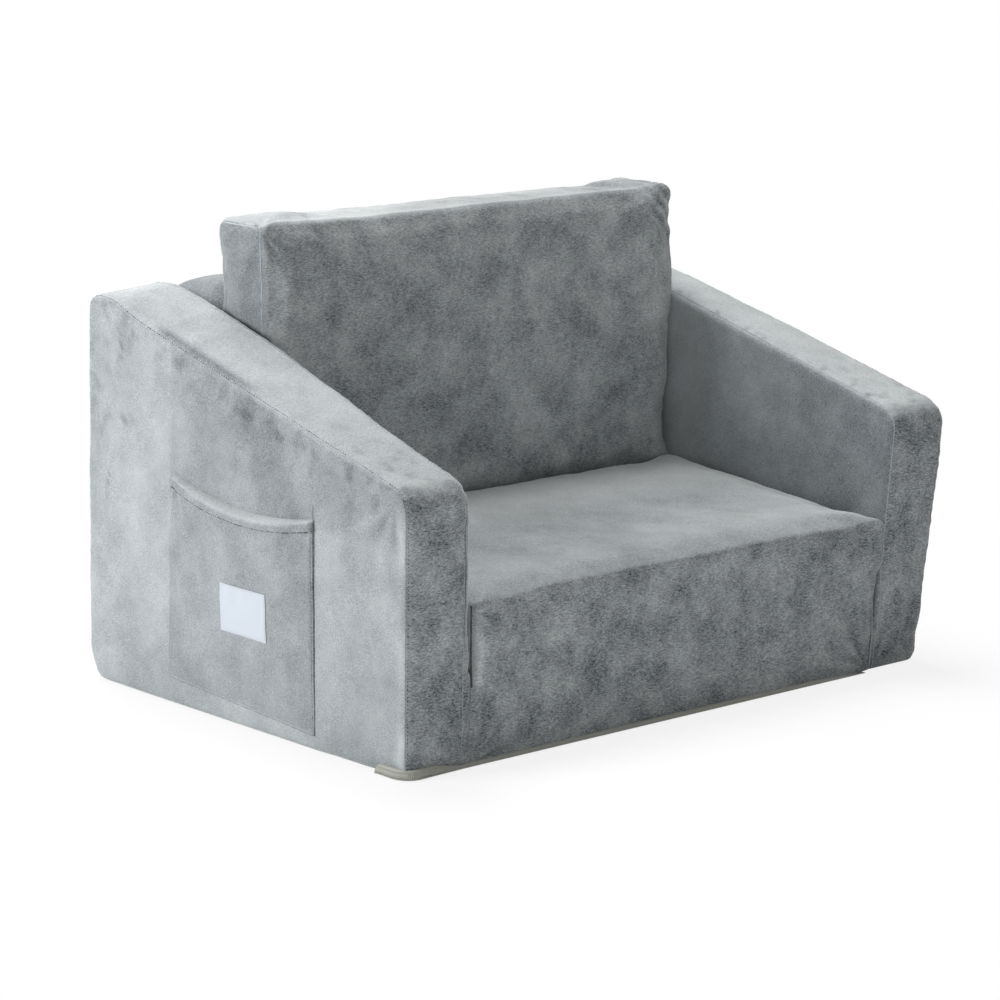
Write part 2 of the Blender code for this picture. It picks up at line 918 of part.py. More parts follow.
def main():
    for old in list(bpy.data.objects):
        bpy.data.objects.remove(old, do_unlink=True)
    back_axis = new_axis("back_cushion_axis", crease, -back_recline)
    build_shell()
    build_lining()
    build_cushions(back_axis)
    hinge_roll("front_hinge_seam", front_hinge, front_hinge_radius, velvet_mid)
    hinge_roll("crease_hinge_seam", crease, crease_radius, velvet_dark)
    build_pocket()
    build_zips(back_axis)
    bpy.context.view_layer.update()


main()
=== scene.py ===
import json
import math

import bmesh
import bpy
import numpy as np
from mathutils import Matrix, Vector
from mathutils.bvhtree import BVHTree

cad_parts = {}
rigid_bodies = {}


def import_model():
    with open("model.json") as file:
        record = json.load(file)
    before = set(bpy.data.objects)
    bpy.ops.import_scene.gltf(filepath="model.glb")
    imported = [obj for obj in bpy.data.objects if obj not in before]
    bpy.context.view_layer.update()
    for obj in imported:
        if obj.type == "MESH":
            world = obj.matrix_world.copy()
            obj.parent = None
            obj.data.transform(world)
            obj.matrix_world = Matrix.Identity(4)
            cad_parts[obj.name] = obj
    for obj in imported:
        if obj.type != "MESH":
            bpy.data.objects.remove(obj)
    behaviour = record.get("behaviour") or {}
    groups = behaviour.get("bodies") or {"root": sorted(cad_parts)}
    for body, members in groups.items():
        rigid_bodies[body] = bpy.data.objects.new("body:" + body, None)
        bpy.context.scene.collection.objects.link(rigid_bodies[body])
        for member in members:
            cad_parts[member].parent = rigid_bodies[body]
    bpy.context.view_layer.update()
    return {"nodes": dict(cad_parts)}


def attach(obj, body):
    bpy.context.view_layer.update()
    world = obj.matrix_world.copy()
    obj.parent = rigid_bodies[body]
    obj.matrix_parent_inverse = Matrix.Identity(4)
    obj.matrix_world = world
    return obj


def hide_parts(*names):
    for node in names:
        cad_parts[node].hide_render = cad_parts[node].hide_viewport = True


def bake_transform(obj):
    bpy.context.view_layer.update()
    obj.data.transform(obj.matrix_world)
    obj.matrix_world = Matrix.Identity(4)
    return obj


for startItem in list(bpy.data.objects):
    bpy.data.objects.remove(startItem)
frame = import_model()
scene = bpy.context.scene
tau = 2 * math.pi

# The sofa's own planes, as the CAD source has them
sofa = {
    "halfWidth": 0.390,
    "innerHalf": 0.306,
    "front": -0.264,
    "rear": 0.264,
    "floor": 0.003,
    "panelFront": 0.164,
    "panelTop": 0.421,
    "armTop": 0.425,
    "armFrontTop": 0.298,
    "armTopFlat": 0.036,
    "armSlope": 0.258,                           # fall of the arms' top per length
    "lean": {"left": 0.004, "right": 0.026},     # outward lean of the arms' front upper corners
    "crease": Vector((0, 0.0749, 0.1801)),
    "recline": math.radians(1.5),
}


# Small tools: colours, nodes, points

def hexToLinear(text):
    values = [int(text[place:place + 2], 16) / 255 for place in (1, 3, 5)]
    return [value / 12.92 if value <= 0.04045 else ((value + 0.055) / 1.055) ** 2.4
            for value in values] + [1]


# Fills a node's inputs, each by a plain value or by a link from a socket
def feed(tree, node, inputs):
    for key, value in inputs.items():
        socket = node.inputs[key] if isinstance(key, int) else next(
            item for item in node.inputs if item.name == key and item.enabled)
        if isinstance(value, bpy.types.NodeSocket):
            tree.links.new(value, socket)
        else:
            socket.default_value = value
    return node


def addNode(tree, kind, inputs=None, **settings):
    node = tree.nodes.new(kind)
    for name, value in settings.items():
        setattr(node, name, value)
    return feed(tree, node, inputs or {})


def addMath(tree, operation, *values):
    return addNode(tree, "ShaderNodeMath", dict(enumerate(values)), operation=operation).outputs[0]


def readPoints(piece):
    points = np.empty(len(piece.data.vertices) * 3)
    piece.data.vertices.foreach_get("co", points)
    return points.reshape(-1, 3)


def writePoints(piece, points):
    piece.data.vertices.foreach_set("co", np.asarray(points, float).ravel())
    piece.data.update()


def readNormals(piece):
    normals = np.empty(len(piece.data.vertices) * 3)
    piece.data.vertex_normals.foreach_get("vector", normals)
    return normals.reshape(-1, 3)


def newPiece(name, mesh, material):
    mesh.materials.clear()
    mesh.materials.append(material)
    piece = bpy.data.objects.new(name, mesh)
    scene.collection.objects.link(piece)
    return piece


def shapeToMesh(name, shape):
    bmesh.ops.remove_doubles(shape, verts=shape.verts, dist=0.000001)
    bmesh.ops.recalc_face_normals(shape, faces=shape.faces)
    mesh = bpy.data.meshes.new(name)
    shape.to_mesh(mesh)
    shape.free()
    return mesh


# Closed mesh over rings of points, with the first and last ring as its end faces
def loft(name, rings):
    shape = bmesh.new()
    rings = [[shape.verts.new(point) for point in ring] for ring in rings]
    for lower, upper in zip(rings, rings[1:]):
        for index in range(len(lower)):
            ahead = (index + 1) % len(lower)
            shape.faces.new((lower[index], lower[ahead], upper[ahead], upper[index]))
    shape.faces.new(rings[0])
    shape.faces.new(rings[-1])
    return shapeToMesh(name, shape)


# Two-sided sheet from rows of outer points, whose inner side is moved by the offset
def closedSheet(name, grid, offset, material):
    rows, columns = len(grid), len(grid[0])
    shape = bmesh.new()
    outer = [[shape.verts.new(point) for point in line] for line in grid]
    inner = [[shape.verts.new(np.add(point, offset)) for point in line] for line in grid]
    for row in range(rows - 1):
        for column in range(columns - 1):
            ring = ((row, column), (row, column + 1), (row + 1, column + 1), (row + 1, column))
            shape.faces.new([outer[a][b] for a, b in ring])
            shape.faces.new([inner[a][b] for a, b in (ring[0], ring[3], ring[2], ring[1])])
    rim = [(0, column) for column in range(columns)] + [(row, columns - 1) for row in range(1, rows)]
    rim += [(rows - 1, column) for column in range(columns - 2, -1, -1)]
    rim += [(row, 0) for row in range(rows - 2, 0, -1)]
    for (a, b), (c, d) in zip(rim, rim[1:] + rim[:1]):
        shape.faces.new((outer[a][b], inner[a][b], inner[c][d], outer[c][d]))
    return smoothShade(newPiece(name, shapeToMesh(name, shape), material), 50)


def evaluatedMesh(piece):
    bpy.context.view_layer.update()
    graph = bpy.context.evaluated_depsgraph_get()
    return bpy.data.meshes.new_from_object(piece.evaluated_get(graph), depsgraph=graph)


# Replaces the piece's mesh by what its modifiers make of it
def bakeModifiers(piece):
    mesh = evaluatedMesh(piece)
    piece.modifiers.clear()
    old = piece.data
    piece.data = mesh
    if old.users == 0:
        bpy.data.meshes.remove(old)


def smoothShade(piece, angle=None):
    piece.data.shade_smooth()
    if angle is not None:
        piece.data.set_sharp_from_angle(angle=math.radians(angle))
    return piece


def smoothStep(low, high, values):
    share = np.clip((values - low) / (high - low), 0, 1)
    return share * share * (3 - 2 * share)


def bell(values, width):
    return np.exp(-(values / width) ** 2)


# Writes how the pile leans at each point, with painted light and shade added in (above 0 paler, below 0
# darker), and where it is seen end-on
def setPileAndPaintedLight(piece, values):
    ends = smoothStep(0.50, 0.97, -readNormals(piece)[:, 1])
    for name, amounts in (("pile", values), ("endOn", ends)):
        layer = piece.data.attributes.get(name) or piece.data.attributes.new(name, "FLOAT", "POINT")
        layer.data.foreach_set("value", np.zeros(len(ends), np.float32) + np.asarray(amounts, np.float32))


# Holds values between low and high and eases them in from the distance given
def softLimit(values, low, high, ease):
    over = np.maximum(values - (high - ease), 0)
    under = np.maximum((low + ease) - values, 0)
    return values - over + ease * np.tanh(over / ease) + under - ease * np.tanh(under / ease)


# Smooth random field, about -1 to 1, with hills about size across
def softField(points, seed, size, count=26):
    generator = np.random.default_rng(seed)
    ways = generator.normal(size=(count, 3))
    ways /= np.linalg.norm(ways, axis=1)[:, None]
    lengths = size * generator.uniform(1.2, 3.2, count)
    phases = generator.uniform(0, tau, count)
    waves = np.sin(points @ (ways / lengths[:, None]).T * tau + phases)
    return waves.sum(axis=1) / math.sqrt(count / 2) / 1.6


# Folds that spread from a gathered corner, as heights along the surface normal
def foldFan(points, fan):
    offset = points - np.array(fan["at"])
    first = offset @ np.array(fan["first"])
    second = offset @ np.array(fan["second"])
    away = offset @ np.cross(fan["first"], fan["second"])
    reach = np.hypot(first, second) + 1e-9
    angle = np.arctan2(second, first)
    start, end = fan["span"]
    inside = smoothStep(start - 0.12, start + 0.06, angle) * (1 - smoothStep(end - 0.06, end + 0.12, angle))
    wobble = softField(points, fan["seed"], 0.035) * 0.9
    ridges = np.sin(angle * fan["folds"] + wobble + fan["seed"])
    strength = (1 - np.exp(-(reach / fan["start"]) ** 2)) * np.exp(-((reach / fan["reach"]) ** 1.6))
    return fan["depth"] * ridges * strength * inside * bell(away, fan.get("near", 0.02))


def treeOf(piece):
    return BVHTree.FromPolygons([vertex.co for vertex in piece.data.vertices],
                                [tuple(face.vertices) for face in piece.data.polygons])


# Function that gives the place and the normal of a piece nearest to a point
def nearestOn(piece):
    tree = treeOf(piece)
    return lambda point: tree.find_nearest(Vector(point))[:2]


# Materials

# Material with its tree, its shader and the place on the object that its patterns start from
def newMaterial(name):
    material = bpy.data.materials.new(name)
    material.use_nodes = True
    tree = material.node_tree
    place = addNode(tree, "ShaderNodeTexCoord").outputs["Object"]
    return material, tree, tree.nodes["Principled BSDF"], place


def addNoise(tree, source, size, detail, roughness):
    return addNode(tree, "ShaderNodeTexNoise", {
        "Vector": source, "Scale": 1 / size, "Detail": detail, "Roughness": roughness}).outputs["Fac"]


def addRamp(tree, source, *ends):
    ramp = addNode(tree, "ShaderNodeValToRGB", {"Fac": source})
    for element, (position, colour) in zip(ramp.color_ramp.elements, ends):
        element.position = position
        element.color = (*colour[:3], 1)
    return ramp.outputs["Color"]


def addBump(tree, height, distance, strength, **under):
    return addNode(tree, "ShaderNodeBump", {
        "Height": height, "Distance": distance, "Strength": strength, **under}).outputs["Normal"]


# Short-pile polyester velvet, knitted and sheared: a fine even grain with soft clouds where the pile leans;
# the pile attribute also brings in painted light and shade
def plushVelvet():
    settings = {
        "dark": "#6f7578", "light": "#b0b5b7", "bumpCloud": 0.0008, "bumpPile": 0.0004,
        # Layers: size in metres, detail, roughness, share, and share added where the pile is seen end-on
        "drift": (0.16, 2.0, 0.5, 0.20, 0), "cloud": (0.042, 5.0, 0.66, 0.30, 0.50),
        "weave": (0.0017, 1.0, 0.5, 0.16, 0.46), "pile": (0.0011, 1.5, 0.6, 0.42, 0.24),
    }
    material, tree, shader, place = newMaterial("plushVelvet")
    threads = addNode(tree, "ShaderNodeMapping", {"Vector": place, "Scale": (0.55, 0.55, 1.35)})
    streaks = addNode(tree, "ShaderNodeMapping", {
        "Vector": place, "Rotation": (0.3, math.radians(38), 0.3), "Scale": (0.42, 0.7, 1.25)})
    endOn = addNode(tree, "ShaderNodeAttribute", attribute_name="endOn").outputs["Fac"]
    grains = {}
    level = 0.5
    for name, source in (("drift", place), ("cloud", place), ("weave", streaks.outputs["Vector"]),
                         ("pile", threads.outputs["Vector"])):
        size, detail, roughness, share, front = settings[name]
        grains[name] = addNoise(tree, source, size, detail, roughness)
        if front:
            share = addMath(tree, "MULTIPLY_ADD", endOn, front, share)
        level = addMath(tree, "MULTIPLY_ADD", addMath(tree, "SUBTRACT", grains[name], 0.5), share, level)
    # The pile attribute: the pile's lean together with painted light and shade
    lean = addNode(tree, "ShaderNodeAttribute", attribute_name="pile").outputs["Fac"]
    ramp = addNode(tree, "ShaderNodeMapRange", {
        "Value": addMath(tree, "ADD", level, lean), "From Min": 0.32, "From Max": 0.68}, clamp=False)
    colour = addNode(tree, "ShaderNodeMix", {
        "Factor": ramp.outputs["Result"], "A": hexToLinear(settings["dark"]),
        "B": hexToLinear(settings["light"])}, data_type="RGBA", clamp_factor=False)
    low = addBump(tree, grains["cloud"], settings["bumpCloud"], 0.6)
    feed(tree, shader, {
        "Base Color": next(item for item in colour.outputs if item.enabled),
        "Normal": addBump(tree, grains["pile"], settings["bumpPile"], 1.0, Normal=low),
        "Roughness": 0.95, "Specular IOR Level": 0.10, "Sheen Weight": 0.55, "Sheen Roughness": 0.40,
        "Sheen Tint": hexToLinear("#ecebe9")})
    return material


# Finish with a fine grain of its own in colour and height
def plainFinish(name, colour, roughness, grain, contrast, depth, metallic=0.0, sheen=0.0):
    material, tree, shader, place = newMaterial(name)
    speckle = addNoise(tree, place, grain, 3.0, 0.6)
    base = np.array(hexToLinear(colour)[:3])
    feed(tree, shader, {
        "Base Color": addRamp(tree, speckle, (0.3, base * (1 - contrast)),
                              (0.7, np.minimum(base * (1 + contrast), 1))),
        "Normal": addBump(tree, speckle, depth, 0.8), "Roughness": roughness, "Metallic": metallic,
        "Sheen Weight": sheen})
    return material


# Rib-knit polyester lining: ridges along Y at an even pitch, olive grey, dull
def ribbedLining():
    pitch = 0.0018
    material, tree, shader, place = newMaterial("ribbedLining")
    ribs = addNode(tree, "ShaderNodeTexWave", {
        "Vector": place, "Scale": 1 / pitch / tau, "Distortion": 0.6, "Detail": 1.0,
        "Detail Scale": 2.0}, wave_type="BANDS", bands_direction="X").outputs["Fac"]
    feed(tree, shader, {
        "Base Color": addRamp(tree, ribs, (0, hexToLinear("#70716a")), (1, hexToLinear("#a2a399"))),
        "Normal": addBump(tree, ribs, 0.0006, 0.9), "Roughness": 0.8})
    return material


velvet = plushVelvet()
lining = ribbedLining()
# One rib of the knit, painted paler than the lining to offset the shade the lip lies in under the cover; pile
# pressed up at a seam, painted paler as a highlight on its ridge; and the painted shade of a closed needle
# line
liningRib = plainFinish("liningRib", "#adaea6", 0.8, 0.0008, 0.18, 0.0002)
velvetWelt = plainFinish("velvetWelt", "#a4a9ad", 0.9, 0.0012, 0.16, 0.0002, sheen=0.4)
seamShade = plainFinish("seamShade", "#3d4144", 0.95, 0.0010, 0.10, 0.0001)
# Spun polyester, damask left blank, woven polyester tape, moulded acetal and tumbled zinc
thread = plainFinish("sewingThread", "#a3a7aa", 0.6, 0.0006, 0.12, 0.0001, sheen=0.2)
wovenLabel = plainFinish("wovenLabel", "#b0b7c0", 0.7, 0.0007, 0.03, 0.00008, sheen=0.2)
zipTape = plainFinish("zipTape", "#3c3f42", 0.85, 0.0008, 0.2, 0.0002)
acetal = plainFinish("acetalTeeth", "#2d2f31", 0.42, 0.002, 0.06, 0.00005)
zinc = plainFinish("zincDieCast", "#8f9294", 0.34, 0.0015, 0.06, 0.00004, metallic=1.0)
print("materials made")


# Outlines and blocks

# Closed polygon with rounded corners, each edge moved inwards by the inset
def roundedOutline(corners, radii, inset=0.0, steps=8):
    count = len(corners)
    lines = []
    for index in range(count):
        start = Vector(corners[index])
        along = (Vector(corners[(index + 1) % count]) - start).normalized()
        lines.append((start + Vector((-along.y, along.x)) * inset, along))
    moved = []
    for index in range(count):
        before, beforeAlong = lines[index - 1]
        after, afterAlong = lines[index]
        reach = (after - before).cross(afterAlong) / beforeAlong.cross(afterAlong)
        moved.append(before + beforeAlong * reach)
    points = []
    for index in range(count):
        corner = moved[index]
        backWay = (moved[index - 1] - corner).normalized()
        nextWay = (moved[(index + 1) % count] - corner).normalized()
        hollow = backWay.cross(nextWay) > 0
        radius = max(radii[index] + (inset if hollow else -inset), 0.0008)
        opening = backWay.angle(nextWay)
        centre = corner + (backWay + nextWay).normalized() * (radius / math.sin(opening / 2))
        first = corner + backWay * (radius / math.tan(opening / 2)) - centre
        turn = (math.pi - opening) * (-1 if hollow else 1)
        points += [centre + Matrix.Rotation(turn * step / steps, 2) @ first for step in range(steps + 1)]
    return points


def rectangle(low, high, bottom, top):
    return ((low, bottom), (high, bottom), (high, top), (low, top))


# Closed block: an outline pushed from low to high, with its long edges rounded
def blockMesh(name, block):
    edge, steps = block["edge"], 5
    turns = [math.pi / 2 * step / steps for step in range(steps + 1)]
    rises = [(edge * (1 - math.sin(turn)), block["low"] + edge * (1 - math.cos(turn))) for turn in turns]
    falls = [(inset, block["high"] + block["low"] - place) for inset, place in reversed(rises)]
    rings = []
    for inset, place in rises + falls:
        outline = roundedOutline(block["corners"], block["radii"], inset)
        rings.append([block["toSpace"](point, place) for point in outline])
    return loft(name, rings)


def alongX(point, place):
    return Vector((place, point.x, point.y))


def alongY(point, place):
    return Vector((point.x, -place, point.y))


def alongZ(point, place):
    return Vector((point.x, point.y, place))


def relaxed(piece, times):
    smooth = piece.modifiers.new("relax", "SMOOTH")
    smooth.factor = 0.5
    smooth.iterations = times


# Piece of even quads over a block
def evenCover(name, block, voxel, relax=6):
    piece = newPiece(name, blockMesh(name, block), velvet)
    remesh = piece.modifiers.new("remesh", "REMESH")
    remesh.mode = "VOXEL"
    remesh.voxel_size = voxel
    relaxed(piece, relax)
    bakeModifiers(piece)
    piece.data.materials.clear()
    piece.data.materials.append(velvet)
    return smoothShade(piece)


# Faces of a box pushed out by their crowns, most at each face's middle
def swelled(points, box, crowns):
    shares = []
    for axis in range(3):
        low, high = box[axis]
        shares.append(np.clip((2 * points[:, axis] - low - high) / (high - low), -1, 1))
    rises = [1 - share ** 2 for share in shares]
    moved = points.copy()
    for axis in range(3):
        lowCrown, highCrown = crowns[axis]
        crown = np.where(shares[axis] > 0, highCrown, lowCrown)
        moved[:, axis] += shares[axis] * crown * rises[axis - 1] * rises[axis - 2]
    return moved


# How far inside a rounded outline each flat point lies, and how far along it
def outlineDepth(points, corners, radii):
    outline = np.array([tuple(point) for point in roundedOutline(corners, radii)])
    ends = np.roll(outline, -1, axis=0)
    spans = ends - outline
    lengths = np.maximum((spans ** 2).sum(axis=1), 1e-14)
    best = np.full(len(points), 9.0)
    along = np.zeros(len(points))
    run = 0.0
    for start, span, length in zip(outline, spans, lengths):
        share = np.clip(((points - start) @ span) / length, 0, 1)
        gap = points - start - share[:, None] * span
        reach = np.hypot(gap[:, 0], gap[:, 1])
        nearer = reach < best
        best[nearer] = reach[nearer]
        along[nearer] = run + share[nearer] * math.sqrt(length)
        run += math.sqrt(length)
    return best, along


# Curves along seams: welts, shade lines and stitches, made by Geometry Nodes

def pathCurve(name, points, closed=False):
    curve = bpy.data.curves.new(name, "CURVE")
    curve.dimensions = "3D"
    spline = curve.splines.new("POLY")
    spline.points.add(len(points) - 1)
    for target, point in zip(spline.points, points):
        target.co = (*point, 1)
    spline.use_cyclic_u = closed
    piece = bpy.data.objects.new(name, curve)
    scene.collection.objects.link(piece)
    return piece


# Tree with number inputs and a material; it starts from its path, cut into even steps
def startTree(name, labels):
    tree = bpy.data.node_groups.new(name, "GeometryNodeTree")
    tree.interface.new_socket("Geometry", in_out="INPUT", socket_type="NodeSocketGeometry")
    for label in labels:
        tree.interface.new_socket(label, in_out="INPUT", socket_type="NodeSocketFloat")
    tree.interface.new_socket("Material", in_out="INPUT", socket_type="NodeSocketMaterial")
    tree.interface.new_socket("Geometry", in_out="OUTPUT", socket_type="NodeSocketGeometry")
    given = addNode(tree, "NodeGroupInput").outputs
    step = given["Pitch"] if "Pitch" in labels else 0.0022
    line = addNode(tree, "GeometryNodeResampleCurve", {"Curve": given["Geometry"], "Length": step},
                   mode="LENGTH")
    return tree, given, line.outputs["Curve"]


def endTree(tree, given, geometry):
    real = addNode(tree, "GeometryNodeRealizeInstances", {"Geometry": geometry})
    painted = addNode(tree, "GeometryNodeSetMaterial", {
        "Geometry": real.outputs["Geometry"], "Material": given["Material"]})
    addNode(tree, "NodeGroupOutput", {"Geometry": painted.outputs["Geometry"]})
    return tree


def addCopies(tree, line, shape, inputs):
    return addNode(tree, "GeometryNodeInstanceOnPoints", {
        "Points": line, "Instance": shape, **inputs}).outputs["Instances"]


# Thin roll along a path whose thickness varies a little
def weltTree():
    tree, given, line = startTree("seamWelt", ("Radius", "Unevenness"))
    bumps = addNode(tree, "ShaderNodeTexNoise", {"Scale": 1 / 0.006, "Detail": 1.0})
    share = addNode(tree, "ShaderNodeMapRange", {
        "Value": bumps.outputs["Fac"], "From Min": 0.3, "From Max": 0.7,
        "To Min": addMath(tree, "SUBTRACT", 1.0, given["Unevenness"]), "To Max": 1.0})
    ring = addNode(tree, "GeometryNodeCurvePrimitiveCircle", {"Resolution": 7, "Radius": 1.0})
    tube = addNode(tree, "GeometryNodeCurveToMesh", {
        "Curve": line, "Profile Curve": ring.outputs["Curve"], "Fill Caps": True,
        "Scale": addMath(tree, "MULTIPLY", share.outputs["Result"], given["Radius"])})
    return endTree(tree, given, tube.outputs["Mesh"])


# Short threads at an even pitch along a path
def stitchTree():
    tree, given, line = startTree("stitchRow", ("Pitch", "Length", "Thickness"))
    tangent = addNode(tree, "GeometryNodeInputTangent").outputs["Tangent"]
    turn = addNode(tree, "FunctionNodeAlignRotationToVector", {"Vector": tangent}, axis="Z")
    loop = addNode(tree, "GeometryNodeMeshIcoSphere", {"Radius": 1.0, "Subdivisions": 1})
    size = addNode(tree, "ShaderNodeCombineXYZ", {
        "X": given["Thickness"], "Y": given["Thickness"],
        "Z": addMath(tree, "MULTIPLY", given["Length"], 0.5)})
    return endTree(tree, given, addCopies(tree, line, loop.outputs["Mesh"], {
        "Rotation": turn.outputs["Rotation"], "Scale": size.outputs["Vector"]}))


# Runs a path tree over the points and leaves a plain mesh that rides on a body
def alongPath(name, tree, points, values, material, body, closed=False):
    source = pathCurve(name + "Path", points, closed)
    modifier = source.modifiers.new(tree.name, "NODES")
    modifier.node_group = tree
    names = {item.name: item.identifier for item in tree.interface.items_tree if item.in_out == "INPUT"}
    for label, value in {**values, "Material": material}.items():
        modifier[names[label]] = value
    mesh = evaluatedMesh(source)
    bpy.data.objects.remove(source)
    piece = smoothShade(newPiece(name, mesh, material))
    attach(piece, body)
    return piece


# Points moved onto a piece and lifted off it along its normal
def onSurface(points, nearest, lift):
    return [place + normal * lift for place, normal in map(nearest, points)]


# Points of a path with more between them, a few millimetres apart
def finely(points):
    dense = []
    for start, end in zip(points, points[1:]):
        count = max(1, int((end - start).length / 0.004))
        dense += [start.lerp(end, step / count) for step in range(count)]
    return dense


welts = weltTree()
stitches = stitchTree()


def addWelt(name, points, radius, unevenness, finish, body, closed=False):
    values = {"Radius": radius, "Unevenness": unevenness}
    return alongPath(name, welts, points, values, finish, body, closed)


def addStitches(name, points, pitch, length, thickness, body, closed=False):
    values = {"Pitch": pitch, "Length": length, "Thickness": thickness}
    alongPath(name, stitches, points, values, thread, body, closed)


# Arms

armForm = {
    "edge": 0.0075,
    "radii": (0.007, 0.022, 0.012, 0.060, 0.030),      # toe, heel, crest, bend, brow
    "voxel": 0.0034,
    "sideCrown": 0.0045, "topCrown": 0.0035, "frontCrown": 0.003,
    "billow": 0.0007, "ripple": 0.00025,
    "gather": 0.0005, "gatherPitch": 0.0050, "gatherReach": 0.008,
    "rearCrown": 0.0045, "leftSpread": (0.0045, 0.0090), "tight": 0.0028,
    "toeRound": 0.024,                                  # fabric drawn round the outer front foot
    "rise": 0.021, "rearRise": 0.008,                   # of the top, at its inner edge and its rear
    "seamInset": 0.0022, "welt": 0.00062,
    # Painted shade: the inner and front faces are made darker
    "innerPaintedShade": -0.06, "frontPaintedShade": -0.05,
}


def armCorners():
    return ((sofa["front"], sofa["floor"]), (sofa["rear"], sofa["floor"]), (sofa["rear"], sofa["armTop"]),
            (sofa["rear"] - sofa["armTopFlat"], sofa["armTop"]), (sofa["front"], sofa["armFrontTop"]))


# Half width of the opening between the arms at the front; the seam draws it in at the notch
def openingEdge(side, height):
    pinch = (0.0045 if side == "right" else 0.0015) * bell(height - 0.078, 0.024)
    return sofa["innerHalf"] - 0.0002 + sofa["lean"][side] * height / sofa["armFrontTop"] - pinch


# Share of an arm's lean at each point: all at its front upper corner, none at the panel and on the floor
def leanShare(points, height):
    ahead = np.clip((sofa["panelFront"] - points[:, 1]) / (sofa["panelFront"] - sofa["front"]), 0, 2)
    return ahead * (height - sofa["floor"]) / sofa["armFrontTop"]


def leaned(points, side, sign):
    moved = points.copy()
    moved[:, 0] += sign * sofa["lean"][side] * leanShare(points, points[:, 2])
    return moved


# How far the left arm's outer side stands out: it is stuffed fuller, most at the rear
def armSpread(depthwise):
    near, far = armForm["leftSpread"]
    return near + (far - near) * smoothStep(-0.25, 0.20, depthwise)


# How far an arm's top stands above its straight cut: its foam is pressed up at the inner edge and the rear
def topRise(side, points):
    x, y, z = points.T
    inwards = np.clip((sofa["halfWidth"] - np.abs(x)) / (sofa["halfWidth"] - sofa["innerHalf"]), 0, 1)
    slope = sofa["armTop"] - np.clip(sofa["rear"] - sofa["armTopFlat"] - y, 0, 1) * sofa["armSlope"]
    onTop = smoothStep(-0.075, -0.004, z - slope)
    amount = armForm["rise"] if side == "left" else armForm["rise"] * 0.35
    inner = amount * smoothStep(-0.26, 0.13, y) * (1 - 0.72 * smoothStep(0.17, 0.262, y))
    return onTop * (inwards ** 1.2 * inner + armForm["rearRise"] * smoothStep(0.17, 0.255, y))


# Line along an arm's edge, from its rear foot over the top to its front foot
def armPath(side, sign, place, inset):
    outline = roundedOutline(armCorners(), armForm["radii"], inset, 14)
    ordered = outline[30:] + outline[:8]                # from the heel over the top to the front foot
    points = np.array([(sign * place, point.x, point.y) for point in finely(ordered)])
    if side == "left" and place > 0.36:
        points[:, 0] -= armSpread(points[:, 1])
    points[:, 2] += topRise(side, points)
    return leaned(points, side, sign)


# How an arm's pile leans: wiped, pressed and brushed parts where they lie, with painted shade on the faces
# turned inwards and to the front, painted light on the tops, a painted highlight on the front's outer edge,
# and painted shade and light along the folds
def armPileAndPaintedLight(points, normals, sign, depth, pulls):
    x, y, z = points.T
    left, right = sign < 0, sign > 0
    outerGap = sofa["halfWidth"] - np.abs(x)
    innerGap = np.abs(x) - sofa["innerHalf"]
    towardsMiddle = -sign * normals[:, 0]
    # Painted shade on the faces that turn inwards and to the front
    pile = armForm["innerPaintedShade"] * smoothStep(0.5, 0.9, towardsMiddle)
    pile += armForm["frontPaintedShade"] * smoothStep(0.5, 0.9, -normals[:, 1])
    # Painted light towards the rear and painted shade towards the front of the right arm's inner face keep it
    # one even tone from front to rear
    even = 0.24 * smoothStep(-0.10, 0.14, y) - 0.10 * smoothStep(-0.02, -0.20, y)
    pile += even * smoothStep(0.5, 0.9, towardsMiddle) * right
    # Pressed pile: dark touches beside the seams on the top and the upper side
    touches = smoothStep(0.1, 1.2, softField(points, 41 + sign, 0.010))
    onTop = smoothStep(0.4, 0.8, normals[:, 2])
    pile -= 0.14 * touches * onTop * bell(innerGap - 0.008, 0.008) * right
    pile -= 0.10 * touches * onTop * smoothStep(-0.06, -0.22, y)
    # Painted light: the tops are made paler, the right arm's most
    pile += (0.13 if right else 0.07) * onTop
    # A dark smear of pressed pile beside the outer seam, and a painted highlight, broken into streaks, up the
    # front's outer edge
    smear = smoothStep(0.165, 0.135, y) * smoothStep(-0.03, 0.02, y)
    pile -= 0.24 * smear * onTop * bell(outerGap - 0.010, 0.006) * left
    edgeHighlightStreaks = 0.6 + 0.6 * softField(points * (1, 1, 0.5), 45, 0.02)
    pile += 0.16 * edgeHighlightStreaks * bell(outerGap, 0.012) * bell(y - sofa["front"], 0.012) * left
    outside = smoothStep(0.5, 0.9, sign * normals[:, 0])
    pile -= 0.08 * touches * outside * bell(depth - 0.015, 0.03) * smoothStep(0.22, 0.30, z)
    # On the outer side the pile is wiped darker above the pocket and beside it
    wiped = smoothStep(-0.2, 0.8, softField(points * (1, 1, 0.45), 47, 0.05))
    # Painted shade and light along the folds: darker in their hollows, paler on their ridges
    pile += 60 * pulls
    pile -= 0.055 * outside * smoothStep(0.120, 0.112, y) * smoothStep(0.232, 0.25, z) * left
    for placeY, placeZ, wide, tall in ((0.207, 0.378, 0.006, 0.024), (0.190, 0.395, 0.004, 0.010),
                                       (0.198, 0.303, 0.011, 0.006), (0.230, 0.225, 0.003, 0.020)):
        smeared = np.clip(0.6 + 0.7 * softField(points, 53, 0.006), 0, 1.2) * bell(z - placeZ, tall)
        smeared *= bell(y - placeY + 0.15 * (z - placeZ), wide)
        pile -= 0.15 * smeared * outside * left
    pile -= 0.10 * wiped * outside * bell(y + 0.06, 0.10) * smoothStep(0.14, 0.26, z)
    brushed = smoothStep(-0.1, 0.5, softField(points * (1, 1, 0.6), 49, 0.03))
    pile -= 0.11 * brushed * outside * bell(y + 0.185, 0.045) * bell(z - 0.205, 0.06)
    return pile


